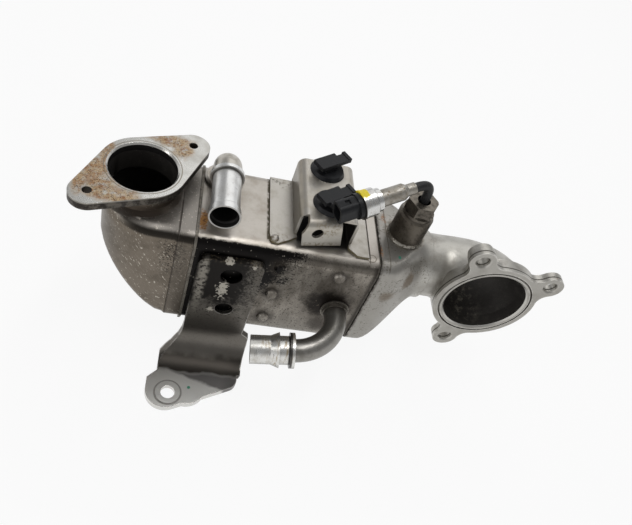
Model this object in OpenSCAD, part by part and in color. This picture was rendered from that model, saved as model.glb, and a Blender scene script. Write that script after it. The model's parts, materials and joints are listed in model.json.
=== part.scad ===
// EGR cooler: a finned-tube exhaust gas cooler with its coolant pipes, support
// bracket, temperature sensor and flanged gas inlet and outlet.
// X runs with the gas, Z points out of the inlet flange, millimetres.
// The origin is the centre of the inlet bore on the inlet flange's face.

/* [Casing] */
// Length of the casing
casing_len = 105; // [95:1:140]
// Width of the casing
casing_w = 64; // [60:1:80]
// Height of the casing
casing_h = 76; // [70:1:95]
// Outside radius of the casing's long edges
corner_r = 8.5; // [6:0.5:11]
// Sheet thickness of casing, hood and header
sheet = 1.5; // [1:0.1:2]
// Distance from the inlet axis to the casing's end
casing_x = 34; // [32:1:45]
// Depth of the casing's top below the inlet face
casing_drop = 16; // [14:1:22]
// Diameter of a pressed dimple at its foot
dimple_d = 8; // [5:0.5:10]
// Height of a pressed dimple
dimple_h = 2; // [1:0.25:3]
// Width of the pressed bead at the outlet end
bead_w = 5.5; // [4:0.5:8]
// Height of the pressed bead
bead_h = 0.8; // [0.4:0.1:1.5]

/* [Gas tubes] */
// Thickness of the tube plates
plate_t = 1.5; // [1:0.1:3]
// Amount by which the inlet tube plate stands proud
plate_proud = 1; // [0.5:0.25:2]
// Width of one flat gas tube
tube_w = 54; // [44:1:56]
// Height of one flat gas tube
tube_h = 7; // [5:0.5:8]
// Distance between neighbouring gas tubes
tube_pitch = 10; // [9:0.25:10]
// Wall of a gas tube
tube_wall = 0.8; // [0.5:0.1:1.2]

/* [Inlet] */
// Bore of the inlet flange
inlet_bore_d = 37; // [30:0.5:38]
// Thickness of the inlet flange
inlet_flange_t = 5; // [4.5:0.5:8]
// Radius of the flange round its bore
inlet_flange_r = 23.5; // [22:0.5:26]
// Radius of the flange's two ends
inlet_lobe_r = 9.5; // [8:0.5:12]
// Distance between the two threaded holes
inlet_hole_pitch = 70; // [64:1:80]
// Core diameter of the threaded holes
inlet_hole_d = 5; // [4:0.1:6]
// Direction of the line of holes, from +X towards +Y
inlet_turn = 45; // [30:1:60]
// Length of the hood's full-section collar
collar_len = 9; // [6:0.5:12]
// Step from the collar to the drawn body
collar_step = 0.8; // [0.4:0.1:1.2]
// Rise of the hood's sloping floor for each millimetre of run
floor_slope = 1.12; // [1:0.02:1.2]
// Distance from the hood's rim to the floor's knee
floor_knee = 15; // [11:0.5:16]
// Fillet between the hood and its neck
neck_fillet = 2.5; // [1:0.5:4]

/* [Outlet] */
// Length of the header's full-section collar
header_collar = 7; // [5:0.5:10]
// Length of the header's taper
header_taper = 27.5; // [24:0.5:40]
// Length of the header's round neck
header_neck = 2.5; // [2:0.5:6]
// Length of pipe between the header and the elbow
outlet_pipe_len = 8.5; // [4:0.5:20]
// Outside diameter of the outlet pipe
outlet_pipe_d = 41; // [36:0.5:46]
// Wall of the cast outlet elbow
elbow_wall = 3.5; // [2.5:0.25:5]
// Depth of the outlet axis below the casing's top
outlet_drop = 23; // [22:0.5:30]
// Distance from the elbow's start to the outlet bore's axis
outlet_reach = 33; // [31:0.5:40]
// Distance from the pipe axis out to the outlet face
outlet_face = 25.5; // [25:0.5:30]
// Bore of the outlet flange
outlet_bore_d = 52; // [46:0.5:54]
// Radius of the outlet flange's ring
outlet_ring_r = 33; // [31:0.5:36]
// Thickness of the outlet flange
outlet_flange_t = 9; // [7:0.5:12]
// Thickness of a lug of the outlet flange
lug_t = 6.3; // [5:0.1:7]
// Radius of a lug of the outlet flange
lug_r = 8.3; // [7:0.1:11]
// Distance from the bore's axis to a lug hole
lug_reach = 41; // [39:0.5:46]
// Diameter of a lug hole
lug_hole_d = 8.5; // [6:0.5:9.5]
// Direction of the single lug, from +X towards +Z
lug_turn = 257; // [230:1:280]
// Angle from the single lug to each of the other two
lug_spread = 138.5; // [125:0.5:150]

/* [Support bracket] */
// Sheet thickness of the bracket
bracket_t = 2.5; // [2:0.25:3.5]
// Depth of the bracket's turned rim
bracket_rim = 4; // [3.5:0.5:6]
// Width of the bracket's plate
bracket_w = 37; // [33:0.5:45]
// Distance from the casing's end to the bracket
bracket_inset = 2.5; // [1:0.5:5]
// Distance from the casing's top to the bracket
bracket_top = 9; // [8:0.5:12]
// Distance from the casing's top to the start of the bend
bracket_bend_drop = 75; // [73:0.5:85]
// Inside radius of the bend
bracket_bend_r = 19.5; // [16:0.5:26]
// Diameter of the upper hole
bracket_hole_d = 12.5; // [8:0.5:15]
// Diameter of the lower hole
bracket_low_hole_d = 10.8; // [8:0.2:14]
// Diameter of the bolt hole in the foot
foot_hole_d = 8.5; // [6:0.5:10]
// Radius of the foot's end round the bolt hole
foot_end_r = 12; // [10:0.5:13]

/* [Coolant pipes] */
// Outside diameter of the upper coolant pipe
upper_d = 16.2; // [12:0.2:18]
// Wall of the upper coolant pipe
upper_wall = 0.9; // [0.7:0.1:1.5]
// Height of the upper spigot's axis above the casing
upper_rise = 15; // [15:0.5:22]
// Centreline radius of the upper elbow
upper_bend_r = 9; // [8.5:0.5:11]
// Distance from the upper elbow's leg out to its mouth
upper_reach = 45.5; // [38:0.5:55]
// Outside diameter of the lower coolant pipe
lower_d = 13.6; // [10:0.2:14.4]
// Wall of the lower coolant pipe
lower_wall = 1; // [0.7:0.1:1.5]
// Centreline radius of the lower bend
lower_bend_r = 25; // [20:0.5:26]
// Straight length from the casing to the lower bend
lower_stub = 6; // [6:0.5:14]
// Slope of the lower spigot below the level
lower_tilt = 9; // [0:0.5:15]
// Diameter of the lower spigot's seat
spigot_d = 16.8; // [16:0.2:20]
// Length of the lower spigot's seat
spigot_seat = 11.7; // [8:0.1:16]
// Diameter of the barb and the stop collar
barb_d = 20.8; // [18:0.2:24]

/* [Sensor] */
// Sheet thickness of the sensor bracket
holder_t = 1.8; // [1.2:0.1:2.2]
// Height of the sensor bracket above the casing
holder_h = 19; // [17:0.5:24]
// Width of the sensor bracket between its walls' outsides
holder_w = 34.5; // [32:0.5:36]
// Diameter of the hole in the front tab
tab_hole_d = 6.8; // [5:0.2:8]
// Diameter of a clip's base disc
clip_d = 21; // [16:0.5:22]
// Diameter of the sensor boss
boss_d = 21.5; // [18:0.5:24]
// Height of the sensor boss above the header
boss_h = 20; // [16:0.5:26]
// Width across the flats of the sensor nut
nut_af = 16.8; // [16:0.2:19]
// Height of the sensor nut's hexagon
nut_h = 8; // [6:0.5:10]
// Diameter of the sensor lead
lead_d = 5.6; // [4:0.2:6]
// Direction of the clips' slides, from +X towards +Y
clip_turn = 36.5; // [34:0.5:39]
// Direction of the sensor's body, from +X towards +Y
sensor_turn = 23.4; // [22:0.2:27]
// Slope of the sensor's body, up from its connector
sensor_climb = 13.9; // [10:0.2:15]
// Height of the connector's axis above the sensor bracket
sensor_rise = 10; // [9.75:0.25:12]
// Outside diameter of the metal sleeve
sleeve_d = 9.8; // [8:0.2:11]
// Length of the metal sleeve
sleeve_len = 17.4; // [15:0.2:19]

/* [Hidden] */
TUBES = [for (i = [1:7]) str("gas_tube_", i)];

$fn = 72;
// Room between pieces that are pushed together
fit = 0.1;
// Overrun of a cut past the face it opens
over = 1;
// Points in each quarter of a lofted ring
quarter_points = 12;
// Shortest flat left between two rounded corners
flat = 0.05;
// Largest corner radius as a share of the half size
roundest = 0.95;

// Casing
top_z = -casing_drop;
mid_z = top_z - casing_h / 2;
low_z = top_z - casing_h;
front_y = -casing_w / 2;
casing_end = casing_x + casing_len;
dimple_top_d = dimple_d - 2.5;
dimple_x = casing_x + 49;
dimple_pitch_x = 35;
dimple_drop = 12.5;
dimple_pitch_z = 23.7;
bead_gap = 0.3;
bead_nose = corner_r / 5;
bead_x = casing_end - bead_gap - bead_w;

// Gas tubes
rim_x = casing_x - plate_t;
header_x = casing_end + plate_t;
tube_count = len(TUBES);
tube_stick = 0.5;
plate_recess = 1;
plate_tab = [3, 3.5];

// Inlet
neck_r = inlet_bore_d / 2 + sheet;
hood_r = casing_w / 2 - collar_step;
hood_x = hood_r - neck_r;
bore_chamfer = 1;
knee_x = rim_x - floor_knee;
knee_blend = 5;
hood_steps = 12;
hood_last = 85;
floor_lean = sqrt(1 + floor_slope * floor_slope);

// Outlet
outlet_z = top_z - outlet_drop;
taper_x = header_x + header_collar;
neck_x = taper_x + header_taper;
neck_end = neck_x + header_neck;
pipe_r = outlet_pipe_d / 2;
neck_out_r = pipe_r + 2 * fit + sheet;
pipe_start = neck_x + 1;
elbow_x = neck_end + outlet_pipe_len;
elbow_gap = 1.5;
elbow_steps = 14;
taper_steps = 12;
taper_fullness = 1.2;
pivot_y = -pipe_r - elbow_gap;
outlet_x = elbow_x + outlet_reach;
outlet_y = -outlet_face;
bowl_relief = 0.6;
bowl_wall = 2.3;
bowl_in_r = outlet_bore_d / 2 + bowl_relief;
bowl_r = bowl_in_r + bowl_wall;
lug_chamfer = 0.8;
mouth_chamfer = 1.2;
lug_fillet = 8;
lug_step = 0.7;
seal_groove = [outlet_bore_d / 2 + 2.5, 1.2, 0.8];
lug_angles = [lug_turn, lug_turn + lug_spread, lug_turn - lug_spread];

// Support bracket
bracket_x = casing_x + bracket_inset;
bracket_z = top_z - bracket_top;
bend_z = top_z - bracket_bend_drop;
plate_y = front_y - bracket_rim;
bend_y = plate_y - bracket_bend_r;
foot_z = bend_z - bracket_bend_r;
bracket_corner_r = 6;
bracket_far_r = 4;
upper_hole = [bracket_x + 20, top_z - 21.5];
lower_hole = [bracket_x + 21, top_z - 52.5];
foot_hole = [bracket_x - 3.5, bend_y - 16.7];
foot_end = foot_hole + [-1.4, 2];
ear_drop = [2, 7.5];
foot_far = [bracket_x + 31, bend_y - 3];
foot_far_r = 7;
foot_seat_d = foot_hole_d + 6.8;
foot_seat_h = 0.5;
bend_flare = 11.5;
flare_steps = [0, 0.03, 0.18, 0.5, 1];
bend_notch = 4.5;

// Upper coolant pipe
upper_y = 19;
upper_z = top_z + upper_rise;
upper_mouth = upper_y - upper_reach;
lip_d = upper_d + 1.3;
lip_len = 5;
lip_taper = 1;
ring_d = upper_d + 3.2;
ring_w = 2.4;
ring_y = upper_y - upper_bend_r - 5;
pipe_dip = 1;
base_d = upper_d + 6.6;
upper_x = casing_x + base_d / 2 + fit;
base_h = 3;
base_chamfer = 1;

// Lower coolant pipe
lower_x = casing_end - 14.5;
lower_z = top_z - 43;
lower_run = 26.1;
spigot_in = 15;
barb_len = 5;
groove_len = 6;
stop_len = 3;
spigot_len = spigot_seat + barb_len + groove_len + stop_len;
lower_base = [[lower_d + 4.4, 1], [lower_d + 2.2, 2.2]];

// Sensor bracket
holder_x = casing_x + 53;
holder_z = top_z + holder_h;
holder_r = 5;
holder_y = [-17, 30];
foot_back = 27;
left_foot = [14, -19];
left_toe = [[1, -25], [5, -26], [11, -22.5]];
toe_weld_at = [2.9, -23];
toe_weld_d = [5.4, 4.4, 2];
toe_weld_h = [2.6, 0.8];
toe_weld_z = 0.3;
right_foot = [10.5, -26];
foot_cut = 5;
tab_x = [holder_x, holder_x + 29.5];
tab_y = -24;
tab_drop = 17;
tab_turn = 12;
tab_root = 6;
tab_left = [5.2, 1.9, 4.4];
tab_bulge = 7.5;
tab_slope = [6.5, 11];
tab_hole = [holder_x + 10.9, holder_z - 7];
clip_hole_d = 6.4;
clip_spots = [[holder_x + 16.7, 22.2], [holder_x + 17.3, -6]];

// Clips
disc_h = 2.5;
clip_neck = [9, 6.5, 3.7];
slide = [23, 8.6, 2.5];
slide_shift = 1.5;
slide_z = holder_z + disc_h + clip_neck[2];
stem_len = 7;
tongue = [2.2, 0.4, 1.2];
slide_notch = [5, 2.2];

// Sensor
boss_at = [taper_x + 10.7, 0];
boss_z = top_z + boss_h;
boss_dip = 4;
boss_chamfer = 1.5;
weld_d = boss_d + 1.8;
weld_h = 1.6;
thread_d = 14;
nut_washer = [nut_af + 2.5, 2];
nut_bevel = 1.08;
nut_z = boss_z + nut_washer[1];
nut_top = nut_z + nut_h;
shank_len = 12;
probe_d = lead_d - 0.4;
nut_recess_d = lead_d + 2.6;
probe_len = 50;
lead_dip = 4;
lead_straight = 1.5;
lead_bow = [6.5, 11];
sensor_z = holder_z + sensor_rise;
mouth_at = [holder_x + 16.7, -22.4];
body_len = 11.3;
body_size = [10, 12.5];
body_r = 3.6;
socket_size = [7, 9.5];
socket_len = 8;
latch = [3, 1, 3, 4.5];
flange_d = 14.6;
flange_len = 2.8;
rail = [3, 10, 2.5];
cup_d = 16;
cup_len = 8;
cup_taper = 1.2;
cup_rim = [0.35, 1.2];
ferrule_d = 13.2;
ferrule_len = 2.5;
sleeve_nose = 2.5;
crimp_d = 7;
crimp_len = 5.2;
crimp_in = 3;
seam = [1.4, 0.9];
terminal = [0.8, 2.4, 8];
terminal_gap = 4.4;
flange_s = body_len;
seat = 0.02;
cup_s = flange_s + flange_len + seat;
sleeve_s = cup_s + cup_len + cup_taper + ferrule_len + seat;
crimp_s = sleeve_s + sleeve_len + seat;
crimp_end = crimp_s + crimp_len;
lead_start = sensor_point(crimp_end - crimp_in);
lead_out = sensor_point(crimp_end);
lead_top = [boss_at[0], boss_at[1], nut_top];
lead_sides = 20;
lead_steps = 16;
lead_side = [sin(sensor_turn), -cos(sensor_turn), 0];
// Arch of the lead, from the crimp over to the nut
lead_arch = [
  sensor_point(crimp_end + lead_straight), sensor_point(crimp_end + lead_straight + lead_bow[0]),
  lead_top + [0, 0, lead_straight + lead_bow[1]], lead_top + [0, 0, lead_straight]
];
lead_route = concat(
  [lead_start, lead_out],
  [for (i = [0:lead_steps]) curve_point(lead_arch, i / lead_steps)],
  [lead_top, lead_top - [0, 0, lead_dip]]
);

// A point on the sensor's axis, measured from the connector's mouth
function sensor_point(s) = [
  mouth_at[0] + s * cos(sensor_turn) * cos(sensor_climb),
  mouth_at[1] + s * sin(sensor_turn) * cos(sensor_climb),
  sensor_z + s * sin(sensor_climb)
];

// Point of a curve that leaves p[0] towards p[1] and comes to p[3] from p[2]
function curve_point(p, t) =
  pow(1 - t, 3) * p[0] + 3 * pow(1 - t, 2) * t * p[1] + 3 * (1 - t) * t * t * p[2] + pow(t, 3) * p[3];

// Smooth change from 0 to 1
function ease(t) = t * t * (3 - 2 * t);
function blend(a, b, t) = a + (b - a) * t;
function unit(v) = v / norm(v);

// Outward normal of the line that touches two discs given as [x, y, radius]
function touch_normal(a, b) =
  let (
    run = [b[0] - a[0], b[1] - a[1]],
    along = run / norm(run),
    lean = (a[2] - b[2]) / norm(run)
  )
  along * lean + [along[1], -along[0]] * sqrt(1 - lean * lean);

// Outline of a belt round discs listed counter-clockwise
module belt(discs) {
  polygon([
    for (i = [0:len(discs) - 1])
      let (
        a = discs[i],
        b = discs[(i + 1) % len(discs)],
        side = touch_normal(a, b)
      )
      each [[a[0], a[1]] + side * a[2], [b[0], b[1]] + side * b[2]]
  ]);
  for (disc = discs)
    translate([disc[0], disc[1]])
      circle(disc[2]);
}

// Rounded rectangle about the origin
module round_rect(w, h, r) {
  square([w - 2 * r, h], center = true);
  square([w, h - 2 * r], center = true);
  for (sx = [-1, 1], sy = [-1, 1])
    translate([sx * (w / 2 - r), sy * (h / 2 - r)])
      circle(r);
}

// A section drawn in Y and Z, drawn out along X
module along_x(x, length) {
  translate([x, 0, 0])
    rotate([90, 0, 90])
      linear_extrude(length)
        children();
}

// An outline drawn in X and Z, drawn out towards -Y
module towards_front(y, length) {
  translate([0, y, 0])
    rotate([90, 0, 0])
      linear_extrude(length)
        children();
}

// Casing section, smaller by an inset
module casing_section(inset) {
  translate([0, mid_z])
    round_rect(casing_w - 2 * inset, casing_h - 2 * inset, corner_r - inset);
}

// Skin through rings of equal length, either capped or joined end to start
module loft(rings, joined) {
  m = len(rings[0]);
  n = len(rings);
  sides = [
    for (i = [0:joined ? n - 1 : n - 2], j = [0:m - 1])
      let (
        a = i * m + j,
        b = i * m + (j + 1) % m,
        c = (i + 1) % n * m + j,
        d = (i + 1) % n * m + (j + 1) % m
      )
      each [[a, c, b], [b, c, d]]
  ];
  caps = joined ? [] : [[for (j = [0:m - 1]) j], [for (j = [m - 1:-1:0]) (n - 1) * m + j]];
  polyhedron([for (ring = rings) each ring], concat(sides, caps));
}

// Rounded rectangle across X with half sizes a and b, as a ring of points
function cross_ring(x, z, a, b, r) = [
  for (q = [0:3], i = [0:quarter_points - 1])
    let (
      turn = 90 * q + 90 * i / (quarter_points - 1),
      side_y = q == 0 || q == 3 ? 1 : -1,
      side_z = q < 2 ? 1 : -1
    )
    [x, side_y * (a - r) + r * cos(turn), z + side_z * (b - r) + r * sin(turn)]
];

function backwards(list) = [for (i = [len(list) - 1:-1:0]) list[i]];

// Height of the hood's floor above the casing's floor
function floor_rise(x) =
  let (back = knee_x - x)
  floor_slope * (
    back > knee_blend ? back
    : back < -knee_blend ? 0
    : pow(back + knee_blend, 2) / (4 * knee_blend)
  );

// One ring of the hood's body, with half width a
function hood_ring(x, a, inset) =
  let (
    floor_z = low_z + collar_step + floor_rise(x) + inset * floor_lean,
    roof_z = top_z - inset,
    b = (roof_z - floor_z) / 2
  )
  cross_ring(x, (roof_z + floor_z) / 2, a, b, min(corner_r - inset, a * roundest, b * roundest));

// Hood skin from its round end to its rim
function hood_skin(inset) =
  let (radius = hood_r - inset)
  concat(
    [for (i = [0:hood_steps])
      let (turn = hood_last * (1 - i / hood_steps))
      hood_ring(hood_x - radius * sin(turn), radius * cos(turn), inset)],
    [for (x = [knee_x, rim_x - collar_len - 2 * collar_step])
      hood_ring(x, radius, inset)],
    [for (x = [rim_x - collar_len, rim_x])
      cross_ring(x, mid_z, casing_w / 2 - inset, casing_h / 2 - inset, corner_r - inset)]
  );

// Header skin from its collar to its neck
function header_skin(inset) = concat(
  [cross_ring(header_x, mid_z, casing_w / 2 - inset, casing_h / 2 - inset, corner_r - inset)],
  [for (i = [0:taper_steps])
    let (
      t = pow(ease(i / taper_steps), taper_fullness),
      r = neck_out_r - inset,
      a = blend(casing_w / 2 - inset, r, t),
      b = blend(casing_h / 2 - inset, r, t)
    )
    cross_ring(taper_x + header_taper * i / taper_steps, blend(mid_z, outlet_z, t),
      a, b, min(blend(corner_r - inset, r, t), a - flat, b - flat))],
  [cross_ring(neck_end, outlet_z, neck_out_r - inset, neck_out_r - inset,
    neck_out_r - inset - flat)]
);

// Skin of the pipe and the elbow, which turns about an upright line beside the pipe
function elbow_skin(pipe, bowl) = [
  [for (j = [0:4 * quarter_points - 1])
    let (phi = 90 * j / quarter_points)
    [pipe_start, pipe * cos(phi), outlet_z + pipe * sin(phi)]],
  for (i = [0:elbow_steps])
    let (
      turn = 90 * i / elbow_steps,
      t = ease(i / elbow_steps),
      reach = blend(pipe_r + elbow_gap, outlet_reach, t),
      r = blend(pipe, bowl, t)
    )
    [for (j = [0:4 * quarter_points - 1])
      let (
        phi = 90 * j / quarter_points,
        out = reach + r * cos(phi)
      )
      [elbow_x + out * sin(turn), pivot_y + out * cos(turn), outlet_z + r * sin(phi)]]
];

// Casing: a rounded box section with dimples, an end bead and two pipe holes
module dimples() {
  root = sheet / 2;
  root_d = dimple_d + (dimple_d - dimple_top_d) * root / dimple_h;
  for (side = [-1, 1], spot = [[0, 0], [0, 1], [0, 2], [1, 0]])
    translate([
      dimple_x + spot[0] * dimple_pitch_x,
      side * (casing_w / 2 - root),
      top_z - dimple_drop - spot[1] * dimple_pitch_z
    ])
      rotate([-90 * side, 0, 0])
        cylinder(d1 = root_d, d2 = dimple_top_d, h = root + dimple_h);
}

module end_bead() {
  along_x(bead_x, bead_w)
    intersection() {
      casing_section(-bead_h);
      translate([0, top_z])
        square([casing_w + 2 * corner_r, 2 * bead_nose], center = true);
    }
}

module casing() {
  color("#b4aea0")
    difference() {
      union() {
        along_x(casing_x, casing_len)
          casing_section(0);
        end_bead();
        dimples();
      }
      along_x(casing_x - over, casing_len + 2 * over)
        casing_section(sheet);
      translate([upper_x, upper_y, top_z - casing_h / 4])
        cylinder(d = upper_d + 2 * fit, h = casing_h / 2);
      translate([lower_x, front_y + casing_w / 4, lower_z])
        rotate([90, 0, 0])
          cylinder(d = lower_d + 2 * fit, h = casing_w / 2);
    }
}

// Gas tubes and the plates that hold them
module tube_section(grow) {
  for (i = [1:tube_count])
    one_tube_section(i, grow);
}

module one_tube_section(i, grow) {
  translate([0, mid_z + (i - (tube_count + 1) / 2) * tube_pitch])
    round_rect(tube_w + 2 * grow, tube_h + 2 * grow, tube_h / 2 + grow - flat);
}

module gas_tube(i) {
  color("#8f8a80")
    along_x(rim_x - tube_stick, header_x - rim_x + 2 * tube_stick)
      difference() {
        one_tube_section(i, 0);
        one_tube_section(i, -tube_wall);
      }
}

module tube_plate(x, inset) {
  along_x(x, plate_t)
    difference() {
      casing_section(inset);
      tube_section(fit);
    }
}

module inlet_tube_plate() {
  color("#8d887c") {
    tube_plate(rim_x, -plate_proud);
    translate([rim_x, front_y + corner_r - plate_tab[0], low_z - plate_proud - plate_tab[1]])
      cube([plate_t, plate_tab[0], plate_tab[1] + plate_proud + sheet]);
  }
}

module outlet_tube_plate() {
  color("#5d584e")
    tube_plate(casing_end, plate_recess);
}

// Inlet flange with its bore and two threaded holes
module inlet_flange() {
  reach = inlet_hole_pitch / 2;
  color("#c9c7c2")
    rotate([0, 0, inlet_turn])
      difference() {
        translate([0, 0, -inlet_flange_t])
          linear_extrude(inlet_flange_t)
            belt([
              [reach, 0, inlet_lobe_r], [0, 0, inlet_flange_r],
              [-reach, 0, inlet_lobe_r], [0, 0, inlet_flange_r]
            ]);
        translate([0, 0, -inlet_flange_t - over])
          cylinder(d = inlet_bore_d, h = inlet_flange_t + 2 * over);
        translate([0, 0, -bore_chamfer])
          cylinder(d1 = inlet_bore_d, d2 = inlet_bore_d + 4 * bore_chamfer, h = 2 * bore_chamfer);
        for (side = [-1, 1])
          translate([side * reach, 0, -inlet_flange_t - over])
            cylinder(d = inlet_hole_d, h = inlet_flange_t + 2 * over);
      }
}

// Drawn inlet hood, open at its rim and at its neck
module inlet_hood() {
  neck_len = casing_drop - inlet_flange_t;
  color("#8a8274")
    difference() {
      union() {
        loft(concat(hood_skin(0), backwards(hood_skin(sheet))), false);
        translate([0, 0, top_z - sheet / 2])
          cylinder(r = neck_r, h = neck_len + sheet / 2);
        translate([0, 0, top_z - sheet / 2])
          cylinder(r1 = neck_r + neck_fillet + sheet / 2, r2 = neck_r, h = neck_fillet + sheet / 2);
      }
      translate([0, 0, top_z - 2 * sheet])
        cylinder(d = inlet_bore_d, h = neck_len + 3 * sheet);
    }
}

// Outlet header: from the casing's section to the round pipe
module outlet_header() {
  color("#b3aea3")
    difference() {
      loft(concat(header_skin(0), backwards(header_skin(sheet))), true);
      translate([boss_at[0], boss_at[1], top_z - casing_h / 4])
        cylinder(d = boss_d + 2 * fit, h = casing_h / 2);
    }
}

// Cast outlet elbow with its three-lug flange
module lug_outline() {
  ring_side = outlet_ring_r + lug_fillet;
  lug_side = lug_r + lug_fillet;
  turn = acos(
    (ring_side * ring_side + lug_reach * lug_reach - lug_side * lug_side) / (2 * ring_side * lug_reach)
  );
  hollow = [ring_side * cos(turn), ring_side * sin(turn)];
  translate([lug_reach, 0])
    circle(lug_r);
  for (side = [-1, 1])
    difference() {
      polygon([[0, 0], [lug_reach, 0], [hollow[0], side * hollow[1]]]);
      translate([hollow[0], side * hollow[1]])
        circle(lug_fillet);
    }
}

module outlet_ring() {
  translate([outlet_x, outlet_z])
    difference() {
      union() {
        circle(outlet_ring_r);
        children();
      }
      circle(d = outlet_bore_d);
    }
}

module lug_spots() {
  for (turn = lug_angles)
    translate([outlet_x + lug_reach * cos(turn), 0, outlet_z + lug_reach * sin(turn)])
      children();
}

module outlet_elbow() {
  color("#b9b6ae")
    difference() {
      union() {
        loft(concat(
          elbow_skin(pipe_r, bowl_r),
          backwards(elbow_skin(pipe_r - elbow_wall, bowl_in_r))
        ), true);
        towards_front(outlet_y + outlet_flange_t, outlet_flange_t)
          outlet_ring();
        towards_front(outlet_y + lug_t, lug_t)
          outlet_ring()
            for (turn = lug_angles)
              rotate(turn)
                lug_outline();
        translate([outlet_x + lug_reach * cos(lug_angles[2]), 0, outlet_z + lug_reach * sin(lug_angles[2])])
          translate([0, outlet_y + outlet_flange_t, 0])
            rotate([90, 0, 0])
              cylinder(r = lug_r - lug_step, h = outlet_flange_t - lug_t + over);
      }
      translate([outlet_x, outlet_y + outlet_flange_t - over, outlet_z])
        rotate([90, 0, 0])
          cylinder(d = outlet_bore_d, h = outlet_flange_t);
      translate([outlet_x, outlet_y + mouth_chamfer, outlet_z])
        rotate([90, 0, 0])
          cylinder(d1 = outlet_bore_d, d2 = outlet_bore_d + 4 * mouth_chamfer, h = 2 * mouth_chamfer);
      translate([outlet_x, outlet_y + seal_groove[2], outlet_z])
        rotate([90, 0, 0])
          difference() {
            cylinder(r = seal_groove[0] + seal_groove[1], h = seal_groove[2] + over);
            cylinder(r = seal_groove[0], h = seal_groove[2] + over);
          }
      lug_spots() {
        translate([0, outlet_y + outlet_flange_t + over, 0])
          rotate([90, 0, 0])
            cylinder(d = lug_hole_d, h = outlet_flange_t + 2 * over);
        translate([0, outlet_y + lug_chamfer, 0])
          rotate([90, 0, 0])
            cylinder(d1 = lug_hole_d, d2 = lug_hole_d + 4 * lug_chamfer, h = 2 * lug_chamfer);
      }
    }
}

// Pressed support bracket: a plate, a bend and a foot with a rim turned back
module bracket_plate_outline(inset) {
  belt([
    [bracket_x + bracket_corner_r, bracket_z - bracket_corner_r, bracket_corner_r - inset],
    [bracket_x + bracket_corner_r, bend_z + bracket_corner_r, bracket_corner_r - inset],
    [bracket_x + bracket_w - bracket_far_r, bend_z + bracket_corner_r, bracket_far_r - inset],
    [bracket_x + bracket_w - bracket_far_r, bracket_z - bracket_far_r, bracket_far_r - inset]
  ]);
  translate([bracket_x + inset, bend_z - over])
    square([bracket_w - 2 * inset, bracket_corner_r + over]);
}

module bracket_bend_outline(inset) {
  left = bracket_x + inset;
  right = bracket_x + bracket_w - inset;
  step = bracket_bend_r / 4;
  low = foot_z - bracket_rim - over;
  polygon([
    [left, bend_z + bracket_corner_r],
    for (i = [0:4]) [left - bend_flare * flare_steps[i], bend_z - i * step],
    [left - bend_flare, low],
    [right + bend_notch / 2, low], [right + bend_notch, bend_z - 2 * step],
    [right + bend_notch, bend_z - step], [right, bend_z - step / 3],
    [right, bend_z + bracket_corner_r]
  ]);
}

module bracket_foot_outline(inset) {
  left = bracket_x - bend_flare + inset;
  ear = foot_end[0] - foot_end_r + inset;
  right = foot_far[0] + foot_far_r - inset;
  belt([
    [foot_end[0], foot_end[1], foot_end_r - inset],
    [foot_far[0], foot_far[1], foot_far_r - inset],
    [foot_end[0] + foot_end_r, bend_y - foot_end_r + over, foot_end_r - inset]
  ]);
  polygon([
    [left, bend_y + over], [left, bend_y - ear_drop[0] - inset], [ear, bend_y - ear_drop[1] - inset],
    [ear, foot_end[1]], foot_end, foot_far, [right, foot_far[1]], [right, bend_y + over]
  ]);
}

module bracket_form(skin, depth, inset) {
  towards_front(plate_y + depth, depth - skin)
    bracket_plate_outline(inset);
  intersection() {
    translate([bracket_x + bracket_w / 2, bend_y, bend_z])
      rotate([0, 90, 0])
        rotate_extrude(angle = 90)
          translate([bracket_bend_r + skin, -bracket_w])
            square([depth - skin, 2 * bracket_w]);
    towards_front(front_y + over, casing_w)
      bracket_bend_outline(inset);
  }
  translate([0, 0, foot_z - depth])
    linear_extrude(depth - skin)
      bracket_foot_outline(inset);
}

module support_bracket() {
  color("#55524c")
    difference() {
      union() {
        difference() {
          bracket_form(0, bracket_rim, 0);
          bracket_form(bracket_t, bracket_rim + over, bracket_t);
        }
        translate([foot_hole[0], foot_hole[1], foot_z - bracket_t])
          cylinder(d = foot_seat_d, h = bracket_t + foot_seat_h);
      }
      translate([upper_hole[0], front_y, upper_hole[1]])
        rotate([90, 0, 0])
          cylinder(d = bracket_hole_d, h = bracket_rim + over);
      translate([lower_hole[0], front_y, lower_hole[1]])
        rotate([90, 0, 0])
          cylinder(d = bracket_low_hole_d, h = bracket_rim + over);
      translate([foot_hole[0], foot_hole[1], foot_z - bracket_rim])
        cylinder(d = foot_hole_d, h = bracket_rim + foot_seat_h + over);
    }
}

// Upper coolant pipe: out of the casing's top, over a tight elbow to its spigot
module upper_run(d, past) {
  leg = top_z - sheet - pipe_dip - past;
  translate([upper_x, upper_y, leg])
    cylinder(d = d, h = upper_z - upper_bend_r - leg);
  translate([upper_x, upper_y - upper_bend_r, upper_z - upper_bend_r])
    rotate([90, 0, 90])
      rotate_extrude(angle = 90)
        translate([upper_bend_r, 0])
          circle(d = d);
  translate([upper_x, upper_y - upper_bend_r, upper_z])
    rotate([90, 0, 0])
      cylinder(d = d, h = upper_y - upper_bend_r - upper_mouth + past);
}

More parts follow.
